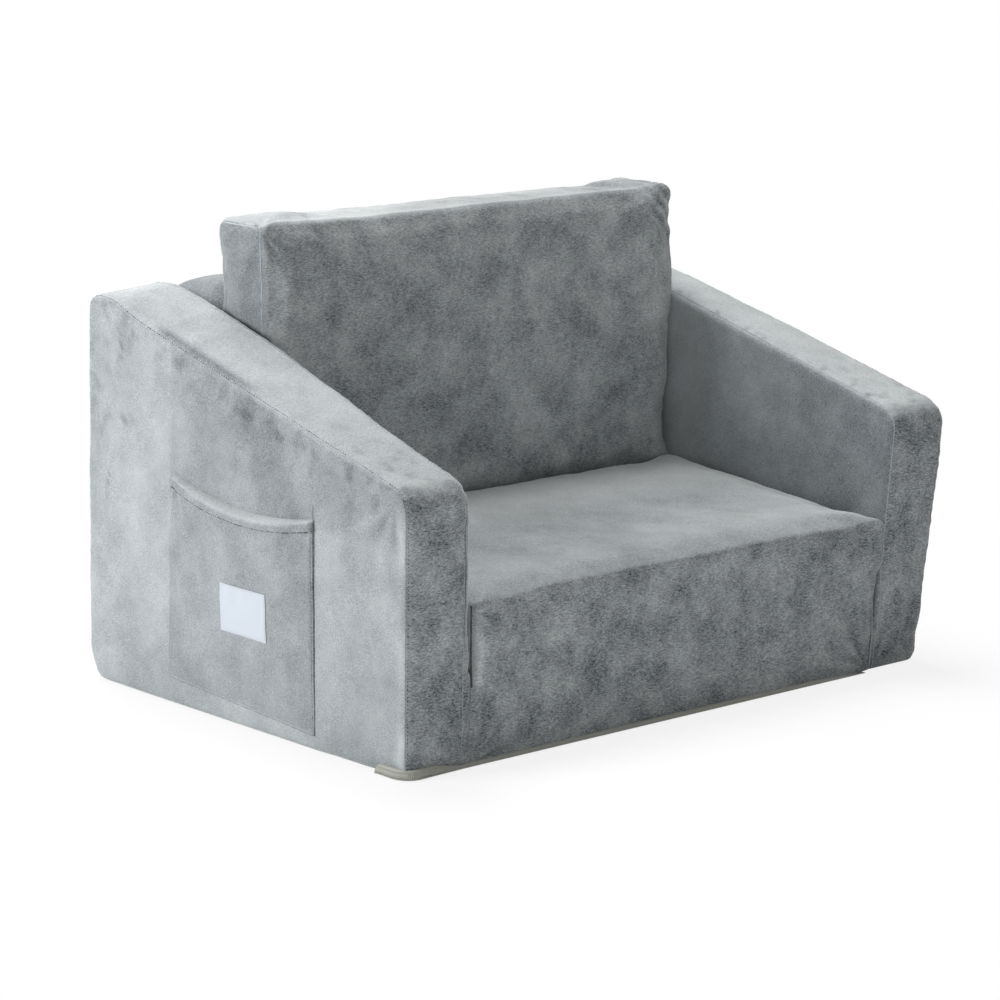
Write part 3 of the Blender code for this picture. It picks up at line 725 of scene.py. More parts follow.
def armSeams(side, sign, nearest):
    inset, welt = armForm["seamInset"], armForm["welt"]
    innerGap = 0.0105 if side == "left" else 0.0046
    for label, place, inward, gap, finish in (("Outer", sofa["halfWidth"], -1, 0.0046, velvet),
                                              ("Inner", sofa["innerHalf"], 1, innerGap, velvetWelt)):
        seam = side + "Arm" + label
        line = armPath(side, sign, place + inward * (inset if inward < 0 else gap), inset)
        addWelt(seam + "Welt", onSurface(line, nearest, 0.0001), welt, 0.6, finish, "shell")
        needle = armPath(side, sign, place + inward * gap, 0.0008)
        if inward < 0 or side == "left":
            addWelt(seam + "Shade", onSurface(needle, nearest, -0.00012), 0.00060, 0.8, seamShade, "shell")
        bold = 1.5 if side == "left" and inward > 0 else 1.0
        addStitches(seam + "Stitches", onSurface(needle, nearest, 0.00022 * bold),
                    0.0040 + 0.0012 * (bold - 1), 0.0027, 0.00042 * bold, "shell")
    if side == "left":
        # Cut edge of the lining, turned out beside the upper part of the inner front edge
        edge = [(sign * (openingEdge(side, height) + 0.0016), -0.2690, height)
                for height in np.arange(0.128, 0.268, 0.003)]
        addWelt("leftArmEdgeStrip", onSurface(edge, nearest, 0.0002), 0.0011, 0.15, velvetWelt, "shell")
        needle = [(a + sign * 0.0060, b, c) for a, b, c in edge]
        addWelt("leftArmEdgeShade", onSurface(needle, nearest, -0.0001), 0.0006, 0.6, seamShade, "shell")


def makeArm(side, sign):
    inner, outer = sorted((sign * sofa["innerHalf"], sign * sofa["halfWidth"]))
    block = {"corners": armCorners(), "radii": armForm["radii"], "low": inner, "high": outer,
             "edge": armForm["edge"], "toSpace": alongX}
    arm = evenCover(side + "ArmCover", block, armForm["voxel"])
    points = readPoints(arm)
    x, y, z = points.T
    across = np.abs(x)
    depth, along = outlineDepth(points[:, 1:], armCorners(), armForm["radii"])
    outerGap = sofa["halfWidth"] - across
    innerGap = across - sofa["innerHalf"]
    box = ((inner, outer), (sofa["front"], sofa["rear"]), (sofa["floor"], sofa["armTop"]))
    outwards = (armForm["sideCrown"], 0) if sign < 0 else (0, armForm["sideCrown"])
    swollen = swelled(points, box, (outwards, (armForm["frontCrown"], armForm["rearCrown"]),
                                    (0, armForm["topCrown"])))
    swollen[:, 2] += topRise(side, points)
    # Foam fills the outer corners out: their rounding is tighter than the cut of the cover
    frontEdge = bell(np.hypot(outerGap, y - sofa["front"]), 0.010) * smoothStep(0.03, 0.06, z)
    rearEdge = bell(np.hypot(outerGap, sofa["rear"] - y), 0.010) * smoothStep(0.01, 0.04, z)
    lowEdge = bell(np.hypot(outerGap, z - sofa["floor"]), 0.009) * smoothStep(-0.16, -0.12, y)
    swollen[:, 0] += sign * armForm["tight"] * (
        frontEdge * (side == "right") + rearEdge + (1.6 if side == "right" else 0.8) * lowEdge)
    swollen[:, 1] += armForm["tight"] * (rearEdge * 1.6 - frontEdge * (side == "right"))
    if side == "left":
        swollen[:, 0] -= armSpread(y) * smoothStep(0.318, 0.372, across)
    # Below the notch the inner front edge is sewn flush to the front cloth
    edgeWay = np.hypot(innerGap, y - sofa["front"])
    pinch = sofa["innerHalf"] + sofa["lean"][side] * z / sofa["armFrontTop"] - openingEdge(side, z)
    flush = (0.0030 + pinch) * bell(edgeWay - 0.002, 0.007)
    flush *= 1 - smoothStep(*((0.095, 0.150) if side == "left" else (0.086, 0.125)), z)
    swollen[:, 0] -= sign * flush * 0.75
    swollen[:, 1] -= flush * 0.75
    # The cover is drawn in round the outer front foot
    foot = np.hypot(np.clip(armForm["toeRound"] - outerGap, 0, 1), np.clip(armForm["toeRound"] - z, 0, 1))
    drawIn = np.clip(foot - armForm["toeRound"], 0, 1) * smoothStep(-0.19, -0.25, y)
    swollen[:, 0] -= sign * drawIn * (1.8 if sign > 0 else 1.1)
    if side == "left":
        # It has ridden up over the lining lip at its front corner
        corner = smoothStep(-0.232, -0.262, y) * smoothStep(0.335, 0.375, across)
        swollen[:, 2] += 0.0012 * corner * bell(z, 0.020)
    else:
        near = smoothStep(-0.1, -0.25, y) * smoothStep(0.35, 0.385, across)
        swollen[:, 0] -= 0.0050 * bell(z - 0.07, 0.09) * near
    # The cover's lower edges hang down beside the lining
    skirt = np.maximum(smoothStep(0.3795, 0.3855, across), smoothStep(-0.254, -0.259, y))
    swollen[:, 2] -= 0.0032 * skirt * bell(z - 0.003, 0.012)
    writePoints(arm, leaned(swollen, side, sign))
    normals = readNormals(arm)
    lean = readPoints(arm)
    height = armForm["billow"] * softField(points, 11 + sign, 0.075)
    height += armForm["ripple"] * softField(points, 21 + sign, 0.022)
    nearFront = smoothStep(-0.16, -0.25, y)
    for number, gap in enumerate((outerGap, innerGap)):
        seam = np.hypot(depth - armForm["seamInset"], gap - armForm["seamInset"])
        # Gathers run away from the seam, so they vary along it and hardly across it
        line = np.column_stack((along, gap * 0.15, depth * 0.15)) / armForm["gatherPitch"] * 0.005
        folds = softField(line, 31 + number + sign, armForm["gatherPitch"])
        strength = armForm["gather"] * (0.4 + 0.45 * nearFront + 0.25 * (number == 1))
        height += strength * folds * bell(seam - 0.002, armForm["gatherReach"])
        height -= 0.0006 * bell(gap - 0.0045, 0.0016) * bell(depth, 0.006)
    fans = [
        # Pulls from the front foot, up the front and along the side
        {"at": (sign * 0.312, -0.266, 0.004), "first": (sign, 0, 0), "second": (0, 0, 1),
         "span": (0.35, 1.5), "folds": 11, "start": 0.012, "reach": 0.062, "depth": 0.0012, "seed": 3},
        {"at": (sign * 0.385, -0.266, 0.002), "first": (-sign, 0, 0), "second": (0, 0, 1),
         "span": (0.25, 1.35), "folds": 13, "start": 0.010, "reach": 0.045, "depth": 0.0010, "seed": 7},
        # Short creases under the brow
        {"at": (sign * 0.386, -0.250, 0.292), "first": (-sign, 0, 0), "second": (0, 0.25, -0.97),
         "span": (0.2, 1.5), "folds": 15, "start": 0.008, "reach": 0.034, "depth": 0.0011, "near": 0.022,
         "seed": 5},
        {"at": (sign * 0.389, -0.246, 0.286), "first": (0, 1, 0), "second": (0, 0, -1),
         "span": (0.5, 1.9), "folds": 9, "start": 0.015, "reach": 0.075, "depth": 0.0013, "seed": 9},
    ]
    pulls = sum(foldFan(points, fan) for fan in fans)
    height += pulls
    flat = smoothStep(0.0035, 0.008, z)      # the underside stays flat on the lining
    moved = lean + normals * (height * flat)[:, None]
    moved[:, 2] = np.maximum(moved[:, 2], np.where((across > 0.3815) | (y < -0.2575), 0.0007, 0.0026))
    writePoints(arm, moved)
    setPileAndPaintedLight(arm, armPileAndPaintedLight(points, normals, sign, depth, pulls))
    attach(arm, "shell")
    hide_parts(side + "_arm_cover", side + "_arm_foam")
    return arm


leftArm = makeArm("left", -1)
leftNearest = nearestOn(leftArm)
armSeams("left", -1, leftNearest)
armSeams("right", 1, nearestOn(makeArm("right", 1)))
print("arms made:", len(leftArm.data.polygons), "faces each")


# Back panel and base

def makePanel():
    panel = {"edge": 0.005, "radii": (0.006, 0.006, 0.016, 0.032), "voxel": 0.0042, "topCrown": 0.026,
             "half": 0.3056}
    block = {"corners": rectangle(sofa["panelFront"], sofa["rear"], sofa["floor"], sofa["panelTop"]),
             "radii": panel["radii"], "low": -panel["half"], "high": panel["half"], "edge": panel["edge"],
             "toSpace": alongX}
    piece = evenCover("backPanelCover", block, panel["voxel"])
    points = readPoints(piece)
    x, y, z = points.T
    box = ((-panel["half"], panel["half"]), (sofa["panelFront"], sofa["rear"]),
           (sofa["floor"], sofa["panelTop"]))
    swollen = swelled(points, box, ((0, 0), (0, 0.001), (0, 0)))
    # The top is domed, steeply at its ends
    dome = (1 - np.abs(x / panel["half"]) ** 18) * (0.72 + 0.28 * bell(y - 0.185, 0.05))
    swollen[:, 2] += panel["topCrown"] * dome * smoothStep(0.36, sofa["panelTop"], z)
    writePoints(piece, swollen)
    normals = readNormals(piece)
    zipBand = 1 - bell(z - 0.110, 0.022) * (y > 0.2)
    height = 0.0007 * softField(points, 51, 0.08) + 0.0003 * softField(points, 52, 0.02)
    height *= zipBand * smoothStep(0.0035, 0.01, z)
    height[np.abs(x) > panel["half"] - 0.004] *= 0.2
    moved = swollen + normals * height[:, None]
    # Slot where the zip lies in the rear face
    inSlot = (np.abs(x) < 0.1795) & (np.abs(z - 0.110) < 0.0072) & (y > 0.24)
    moved[inSlot, 1] = sofa["rear"] - 0.0030
    writePoints(piece, moved)
    # Painted shade: the top is made darker
    setPileAndPaintedLight(piece, -0.19 * smoothStep(0.35, 0.98, readNormals(piece)[:, 2]))
    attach(piece, "shell")
    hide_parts("back_panel_cover", "back_panel_foam")


def underBack(placeY):
    lift = sofa["crease"].z + 0.0025 / math.cos(sofa["recline"])
    return lift - (placeY - sofa["crease"].y) * math.tan(sofa["recline"]) - 0.0006


# Base with the step behind the seat; its front face lies just behind the front cloth
def makeBase():
    stepRear, stepFront = sofa["panelFront"] - 0.0004, 0.0844
    corners = ((-0.2605, sofa["floor"]), (stepRear, sofa["floor"]), (stepRear, underBack(stepRear)),
               (stepFront, underBack(stepFront)), (stepFront, 0.095), (-0.2605, 0.095))
    block = {"corners": corners, "radii": (0.005, 0.005, 0.008, 0.008, 0.003, 0.004),
             "low": -0.3056, "high": 0.3056, "edge": 0.004, "toSpace": alongX}
    piece = evenCover("baseCover", block, 0.0045, 4)
    points = readPoints(piece)
    normals = readNormals(piece)
    height = 0.0004 * softField(points, 61, 0.05) - 0.0004
    height *= smoothStep(0.0035, 0.01, points[:, 2])
    writePoints(piece, points + normals * height[:, None])
    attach(piece, "shell")
    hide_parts("base_cover", "base_foam", "rear_step_foam")


makePanel()
makeBase()
print("back panel and base made")


# Cushions, puffed by a cloth simulation

puff = {"pressure": 4.0, "stretch": 12.0, "shear": 4.8, "bending": 0.6, "loose": -0.012, "mass": 0.25,
        "frames": 20}


# Points of a closed piece swelled by pressure, none of them moved further than the cap
def puffed(piece, cap):
    rest = readPoints(piece)
    cloth = piece.modifiers.new("puff", "CLOTH")
    values = {"quality": 4, "mass": puff["mass"], "tension_stiffness": puff["stretch"],
              "compression_stiffness": puff["stretch"], "shear_stiffness": puff["shear"],
              "bending_stiffness": puff["bending"], "use_pressure": True,
              "uniform_pressure_force": puff["pressure"], "shrink_min": puff["loose"]}
    for name, value in values.items():
        setattr(cloth.settings, name, value)
    cloth.settings.effector_weights.gravity = 0
    cloth.point_cache.frame_start = 1
    cloth.point_cache.frame_end = puff["frames"]
    for number in range(1, puff["frames"] + 1):
        scene.frame_set(number)
    graph = bpy.context.evaluated_depsgraph_get()
    moved = np.empty(len(piece.data.vertices) * 3)
    piece.evaluated_get(graph).data.vertices.foreach_get("co", moved)
    piece.modifiers.clear()
    scene.frame_set(1)
    step = moved.reshape(-1, 3) - rest
    length = np.maximum(np.linalg.norm(step, axis=1), 1e-9)
    held = cap * np.tanh(length / cap)
    return rest + step * (held / length)[:, None]


# One level of smooth subdivision, kept as a mesh
def refined(piece, relax=0):
    if relax:
        relaxed(piece, relax)
    modifier = piece.modifiers.new("refine", "SUBSURF")
    modifier.levels = 1
    modifier.render_levels = 1
    bakeModifiers(piece)
    smoothShade(piece)


# Moves points near an edge line outwards in place, so that its rounding gets tighter
def sharpen(points, centre, axes, amount, width):
    gaps = points[:, axes] - np.array(centre)
    away = np.hypot(gaps[:, 0], gaps[:, 1])
    middle = (points[:, axes].max(axis=0) + points[:, axes].min(axis=0)) / 2
    way = np.sign(np.array(centre) - middle) / math.sqrt(2)
    points[:, axes] += (amount * bell(away, width))[:, None] * way
    return points


# How far each point near an arm must go sideways to follow that arm's lean
def armLean(points, height):
    right = smoothStep(0.20, 0.300, points[:, 0]) * sofa["lean"]["right"]
    left = smoothStep(-0.20, -0.300, points[:, 0]) * sofa["lean"]["left"]
    return (right - left) * leanShare(points, height)


# Lean of the upright back cushion's points, a little more than the arms' own
def cushionLean(points):
    world = points + np.array(sofa["crease"])
    return armLean(world, np.minimum(world[:, 2], 0.40)) * 1.3


def makeSeat():
    seat = {"half": 0.3034, "front": -0.2660, "rear": 0.0722, "low": 0.0960, "high": 0.1795, "edge": 0.009,
            "corner": 0.011, "voxel": 0.0055, "crown": 0.0092, "cap": 0.0085}
    block = {"corners": rectangle(-seat["half"], seat["half"], seat["front"], seat["rear"]),
             "radii": (seat["corner"],) * 4, "low": seat["low"], "high": seat["high"], "edge": seat["edge"],
             "toSpace": alongZ}
    piece = evenCover("seatCushion", block, seat["voxel"], 2)
    writePoints(piece, puffed(piece, seat["cap"]))
    refined(piece, 3)
    points = readPoints(piece)
    x, y, z = points.T
    # It lies flat on the base, straight at the rear, and pressed between the arms
    z[:] = softLimit(z, seat["low"], seat["high"] + seat["crown"], 0.002)
    y[:] = softLimit(y, -0.2705, seat["rear"] + 0.0006, 0.0015)
    x[:] = softLimit(x, -seat["half"] - 0.0008, seat["half"] + 0.0008, 0.0015)
    sharpen(points, (-0.266, 0.181), [1, 2], 0.0034, 0.010)
    sharpen(points, (0.0722, 0.182), [1, 2], 0.0050, 0.009)
    tall = sharpen(points.copy(), (seat["half"], 0.186), [0, 2], 0.0075, 0.015)
    points += (tall - points) * smoothStep(-0.22, -0.06, y)[:, None]
    x[:] = np.minimum(x, seat["half"] + 0.0008)
    climb = np.clip((z - seat["low"]) / (seat["high"] - seat["low"]), 0, 1)
    # The rear of the top is pressed up against the back cushion
    z += 0.0185 * climb ** 2 * smoothStep(-0.18, 0.050, y)
    z[:] = softLimit(z, 0, seat["high"] + 0.0190, 0.0025)
    # The foam is full up to the right arm, so the top's edge runs straight down to the front
    edgeTop = seat["high"] + 0.0185 + 0.072 * (y - 0.05)
    full = smoothStep(0.255, 0.292, x) * smoothStep(0.160, 0.178, z) * smoothStep(-0.245, -0.19, y)
    z += 0.93 * (edgeTop - z) * full * smoothStep(0.073, 0.060, y)
    # The top falls a little towards the front, most at the left front corner
    drop = -0.0015 * smoothStep(-0.12, -0.27, y)
    drop -= 0.0070 * smoothStep(-0.19, -0.305, x) * smoothStep(-0.17, -0.27, y)
    z += climb * drop
    y += 0.0030 * climb * smoothStep(-0.27, -0.306, x) * smoothStep(-0.2, -0.26, y)
    # At its right front corner it bulges over the arm's edge; at the left one it is drawn in and leaves a gap
    sharpen(points, (seat["half"], seat["front"]), [0, 1], 0.0065, 0.012)
    y[:] = np.maximum(y, -0.2722)
    ahead = smoothStep(-0.248, -0.264, y)
    middle = smoothStep(0.098, 0.135, z) * (1 - 0.35 * smoothStep(0.162, 0.182, z))
    x += 0.0125 * smoothStep(0.280, 0.303, x) * ahead * middle
    x += 0.0045 * smoothStep(-0.285, -0.303, x) * ahead
    x += armLean(points, z)
    writePoints(piece, points)
    normals = readNormals(piece)
    height = 0.0007 * softField(points, 71, 0.06) + 0.0003 * softField(points, 72, 0.018)
    frontTop = bell(np.hypot(y + 0.266, z - 0.180), 0.016)
    height += 0.0011 * softField(points * (1, 0.1, 0.1), 73, 0.05) * frontTop
    pulls = sum(foldFan(points, fan) for fan in (
        {"at": (0.318, -0.270, 0.172), "first": (-1, 0, 0), "second": (0, 0, -1), "span": (0.15, 1.4),
         "folds": 12, "start": 0.010, "reach": 0.045, "depth": 0.0012, "seed": 4},
        {"at": (-0.303, -0.268, 0.165), "first": (1, 0, 0), "second": (0, 0, -1), "span": (-0.5, 1.4),
         "folds": 11, "start": 0.010, "reach": 0.050, "depth": 0.0015, "seed": 6}))
    height += pulls
    height *= smoothStep(seat["low"] + 0.001, seat["low"] + 0.008, z) * (y < 0.06)
    writePoints(piece, points + normals * height[:, None])
    # Painted highlight along the seat's rounded front-left edge
    leftEdgeHighlight = bell(x + 0.2960, 0.006) * smoothStep(-0.255, -0.265, y) * (z < 0.182)
    normals = readNormals(piece)
    # Painted light on the rear of the top, where the back cushion shades it; painted shade on the front face;
    # painted shade and light along the folds
    rearPaintedLight = 0.34 * smoothStep(-0.12, 0.03, y) * smoothStep(0.6, 0.95, normals[:, 2])
    setPileAndPaintedLight(piece, rearPaintedLight + 50 * pulls + 0.36 * leftEdgeHighlight - 0.03 * smoothStep(0.5, 0.9, -normals[:, 1]))
    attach(piece, "seat")
    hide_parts("seat_cover", "seat_foam")
    return piece


# Built upright in its hinge's own frame, then reclined about the crease
def makeBackCushion():
    cushion = {"half": 0.3050, "near": 0.0030, "far": 0.0824, "low": 0.0020, "high": 0.3410, "edge": 0.006,
               "corner": 0.014, "voxel": 0.0055, "cap": 0.0075}
    block = {"corners": rectangle(-cushion["half"], cushion["half"], cushion["low"], cushion["high"]),
             "radii": (cushion["corner"],) * 4, "low": -cushion["far"], "high": -cushion["near"],
             "edge": cushion["edge"], "toSpace": alongY}
    piece = evenCover("backCushion", block, cushion["voxel"], 1)
    writePoints(piece, puffed(piece, cushion["cap"]))
    refined(piece)
    points = readPoints(piece)
    x, y, z = points.T
    z[:] = softLimit(z, cushion["low"] - 0.0005, cushion["high"] + 0.0045, 0.002)
    y[:] = softLimit(y, cushion["near"] - 0.0070, cushion["far"] + 0.0002, 0.0015)
    x[:] = softLimit(x, -cushion["half"] - 0.0015, cushion["half"] + 0.0015, 0.002)
    sharpen(points, (cushion["near"], cushion["low"]), [1, 2], 0.0035, 0.010)
    sharpen(points, (cushion["near"], cushion["high"]), [1, 2], 0.0042, 0.010)
    sharpen(points, (cushion["far"], cushion["high"]), [1, 2], 0.0020, 0.010)
    # The front bulges below its middle, also at the ends
    y -= 0.0100 * bell(z - 0.165, 0.165) * smoothStep(0.045, 0.010, y)
    y -= 0.0025 * bell(z - 0.010, 0.03) * smoothStep(0.03, 0.0, y)
    for sign in (-1, 1):
        sharpen(points, (sign * cushion["half"], cushion["near"]), [0, 1], 0.0026, 0.009)
    # Its lower corners spread
    for sign in (-1, 1):
        corner = np.hypot(x - sign * cushion["half"], z - cushion["low"])
        x += sign * 0.006 * bell(corner, 0.020)
    # The left half of the top stands a little higher
    z += (0.0040 + 0.0015 * smoothStep(0.1, -0.25, x)) * smoothStep(0.2, 0.33, z)
    x += 0.0055 * smoothStep(0.27, 0.30, x) * smoothStep(0.14, 0.20, z) * smoothStep(0.325, 0.27, z)
    x += cushionLean(points)
    writePoints(piece, points)
    normals = readNormals(piece)
    height = 0.0009 * softField(points, 81, 0.07) + 0.0003 * softField(points, 82, 0.018)
    top = smoothStep(0.27, 0.335, z)
    height += 0.0016 * softField(points * (1, 0.2, 0.2), 83, 0.075) * top      # the top line waves
    pulls = np.zeros(len(points))
    for sign in (-1, 1):
        side = cushion["half"] + (0.009 if sign > 0 else 0.001)
        pulls += foldFan(points, {
            "at": (sign * (side - 0.002), 0.002, 0.334), "first": (-sign, 0, 0), "second": (0, 0, -1),
            "span": (0.35, 1.6), "folds": 11 if sign < 0 else 9, "start": 0.012,
            "reach": 0.055 if sign < 0 else 0.095, "depth": 0.0022 if sign < 0 else 0.0010,
            "near": 0.03, "seed": 12 + sign})
        height += foldFan(points, {
            "at": (sign * side, 0.002, 0.338), "first": (-sign, 0, 0), "second": (0, 1, 0),
            "span": (0.0, 1.6), "folds": 14, "start": 0.010, "reach": 0.040, "depth": 0.0012,
            "seed": 14 + sign})
        height += foldFan(points, {
            "at": (sign * side, 0.042, 0.338), "first": (0, 1, 0), "second": (0, 0, -1),
            "span": (0.1, 3.0), "folds": 9, "start": 0.010, "reach": 0.036, "depth": 0.0010,
            "seed": 16 + sign})
    # Creases cut across the right upper corner, from the top edge down to the end panel
    aside, below = x - cushion["half"] - 0.009, z - 0.338
    cut, run = 0.77 * aside + 0.64 * below, 0.64 * aside - 0.77 * below
    creases = np.sin(cut / 0.0022 + 0.4 * softField(points, 87, 0.04))
    creases *= bell(cut + 0.034, 0.022) * bell(run - 0.014, 0.034)
    creases *= bell(y, 0.02)
    height += pulls + 0.0012 * creases
    # Pull line across the front at half height, and dimples beside the end panels' seams
    height -= 0.0009 * bell(z - 0.172 - 0.02 * x, 0.004) * bell(y, 0.02)
    seamGap = np.abs(np.abs(x - 0.003) - cushion["half"] + 0.004)
    height += 0.0006 * softField(points * (0.2, 1, 1), 85, 0.0055) * bell(seamGap, 0.007)
    height *= smoothStep(0.006, 0.02, z)
    moved = points + normals * height[:, None]
    moved[:, 1] = np.minimum(moved[:, 1], cushion["far"] + 0.0002)
    writePoints(piece, moved)
    normals = readNormals(piece)
    # Painted light on the front face and painted shade on the left end; the top painted darker at the right
    # and paler at the left; painted shade and light along the folds and creases
    pile = 0.07 * smoothStep(0.4, 0.9, -normals[:, 1]) - 0.12 * smoothStep(0.4, 0.9, -normals[:, 0])
    pile -= (0.08 - 0.20 * smoothStep(0.0, -0.25, x)) * smoothStep(0.45, 0.9, normals[:, 2])
    setPileAndPaintedLight(piece, pile + 35 * pulls + 0.17 * creases)
    turn = Matrix.Translation(sofa["crease"]) @ Matrix.Rotation(-sofa["recline"], 4, "X")
    piece.data.transform(turn)
    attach(piece, "back")
    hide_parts("back_cushion_cover", "back_cushion_foam")
    return piece, cushion, turn


seat = makeSeat()
print("seat cushion made:", len(seat.data.polygons), "faces")
backCushion, backForm, backTurn = makeBackCushion()
print("back cushion made:", len(backCushion.data.polygons), "faces")


# Seam round each end panel of the back cushion
def cushionSeams():
    nearest = nearestOn(backCushion)
    inset, needleGap = 0.0030, 0.0062
    near, far = backForm["near"] + inset - 0.001, backForm["far"] - inset
    low, high = backForm["low"] + inset, backForm["high"] - inset + 0.002
    loop = roundedOutline(rectangle(near, far, low, high), (0.009,) * 4, 0, 8)
    dense = finely(loop + loop[:1])
    for label, sign in (("left", -1), ("right", 1)):
        rows = []
        for gap in (inset, needleGap):
            places = np.array([(sign * (backForm["half"] - gap), point.x, point.y) for point in dense])
            places[:, 0] += cushionLean(places)
            rows.append([backTurn @ Vector(place) for place in places])
        seam, needle = rows
        addWelt(label + "BackWelt", onSurface(seam, nearest, 0.0001), 0.0009, 0.6, velvetWelt, "back",
                True)
        addWelt(label + "BackShade", onSurface(needle, nearest, -0.0001), 0.00042, 0.7, seamShade, "back",
                True)
        addStitches(label + "BackStitches", onSurface(needle, nearest, 0.0001), 0.0036, 0.0024, 0.00034,
                    "back", True)


cushionSeams()


# Front cloth: one panel from the seat's front down over the base

def makeFrontCloth():
    cloth = {"top": 0.139, "bottom": 0.0016, "half": 0.3052, "baseFace": -0.2628, "proud": 0.0007,
             "thickness": 0.0011, "columns": 190, "rows": 46}
    tree = treeOf(seat)
    flat = []
    for row in range(cloth["rows"] + 1):
        height = cloth["bottom"] + (cloth["top"] - cloth["bottom"]) * row / cloth["rows"]
        # Sewn to the arms below the notch, free and a little narrower above it
        freeEdge = smoothStep(0.078, 0.100, height)
        for column in range(cloth["columns"] + 1):
            across = 2 * column / cloth["columns"] - 1
            side = "right" if across > 0 else "left"
            narrow = (0.0072 if side == "left" else 0.0030) * freeEdge
            placeX = across * (openingEdge(side, height) + 0.0022 - narrow)
            placeX += 0.0125 * smoothStep(0.098, 0.135, height) * smoothStep(0.93, 1.0, across)
            hit = tree.ray_cast(Vector((placeX, -0.4, max(height, 0.112))), Vector((0, 1, 0)))[0]
            flat.append((placeX, hit.y if hit else -0.254, height))
    flat = np.array(flat)
    share = smoothStep(0.080, 0.118, flat[:, 2])
    seatFace = np.maximum(flat[:, 1], -0.2725)
    acrossAll = np.tile(2 * np.arange(cloth["columns"] + 1) / cloth["columns"] - 1, cloth["rows"] + 1)
    edgeGap = cloth["half"] - np.abs(acrossAll) * cloth["half"]
    tucked = 0.0016 * bell(edgeGap, 0.0024)             # side edges turn in to the seam with the arms
    face = np.column_stack((flat[:, 0], np.full(len(flat), cloth["baseFace"]), flat[:, 2]))
    height = 0.0008 * softField(face, 91, 0.06) + 0.0003 * softField(face, 92, 0.018)
    height += 0.0008 * softField(face * (0.2, 1, 1), 93, 0.0060) * bell(edgeGap - 0.003, 0.006)

    def pullsAt(points):
        return sum(foldFan(points, {
            "at": (sign * 0.304, cloth["baseFace"], 0.002), "first": (-sign, 0, 0), "second": (0, 0, 1),
            "span": (0.15, 1.35), "folds": 12, "start": 0.012, "reach": 0.075 if sign < 0 else 0.100,
            "depth": 0.0022, "near": 0.03, "seed": 22 + sign}) for sign in (-1, 1))

    height += pullsAt(face)
    baseFace = cloth["baseFace"] - height * (1 - share) + tucked
    # Its top edge sinks into the seat's face
    top = smoothStep(cloth["top"] - 0.012, cloth["top"], flat[:, 2])
    upper = seatFace - cloth["proud"] + top * (cloth["proud"] + 0.0014)
    flat[:, 1] = baseFace * (1 - share) + upper * share
    grid = flat.reshape(cloth["rows"] + 1, cloth["columns"] + 1, 3)
    piece = closedSheet("frontCloth", grid, (0, cloth["thickness"], 0), velvet)
    places = readPoints(piece)
    # Painted highlight along the left edge, painted shade over the whole front face, and painted shade and
    # light along the folds
    leftEdgeHighlight = bell(places[:, 0] + 0.2925, 0.006) * smoothStep(0.076, 0.090, places[:, 2])
    setPileAndPaintedLight(piece, 0.26 * leftEdgeHighlight - 0.03 + 35 * pullsAt(places))
    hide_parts("front_hinge_seam")
    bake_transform(piece)
    for label, sign, finish in (("left", -1, velvet), ("right", 1, velvetWelt)):
        line = [(sign * openingEdge(label, height), -0.2634, height)
                for height in np.arange(0.006, 0.082, 0.003)]
        addWelt(label + "FrontSeam", line, 0.0010, 0.6, finish, "shell")
    # A dark welt paints the shade in the gap between the left arm and the seat, and a pale welt paints the
    # highlight on the turned edge at the right
    gap = [(0.0008 - openingEdge("left", height), -0.2640, height)
           for height in np.arange(0.084, 0.172, 0.003)]
    addWelt("leftSeatGap", gap, 0.0011, 0.5, seamShade, "seat")
    edge = [(0.3345, -0.2760, height) for height in np.arange(0.108, 0.168, 0.003)]
    addWelt("rightSeatEdgeHighlight", onSurface(edge, nearestOn(seat), 0.0002), 0.0006, 0.5, velvetWelt, "seat")


makeFrontCloth()
print("front cloth made")


# Pocket, its hem and its blank label

pocketForm = {
    "front": -0.1245, "width": 0.234, "tilt": 0.013, "footFront": 0.0175, "footRear": 0.0315,
    "mouth": 0.2500, "sag": 0.015, "depth": 0.0095, "filled": 0.150, "hem": 0.0145, "cloth": 0.0014,
    "columns": 96, "rows": 84,
}
labelForm = {"middle": -0.0226, "width": 0.073, "height": 0.053, "foot": 0.1050, "cloth": 0.0006}


def pocketFoot(share):
    return pocketForm["footFront"] + (pocketForm["footRear"] - pocketForm["footFront"]) * share


def pocketMouth(share):
    return pocketForm["mouth"] + 0.009 * share - pocketForm["sag"] * 4 * share * (1 - share)


def pocketReach(share, height):
    arch = np.sqrt(np.clip(4 * share * (1 - share), 0, 1))
    climb = np.clip((height - pocketFoot(share)) / pocketForm["filled"], 0, 1)
    return pocketForm["depth"] * arch * climb * (2 - climb)


def armFace(placeY, height):
    return leftNearest((-0.400, placeY, height))[0].x


def fieldAt(placeY, height, seed, size):
    return softField(np.array([[0.0, placeY, height]]), seed, size)[0]


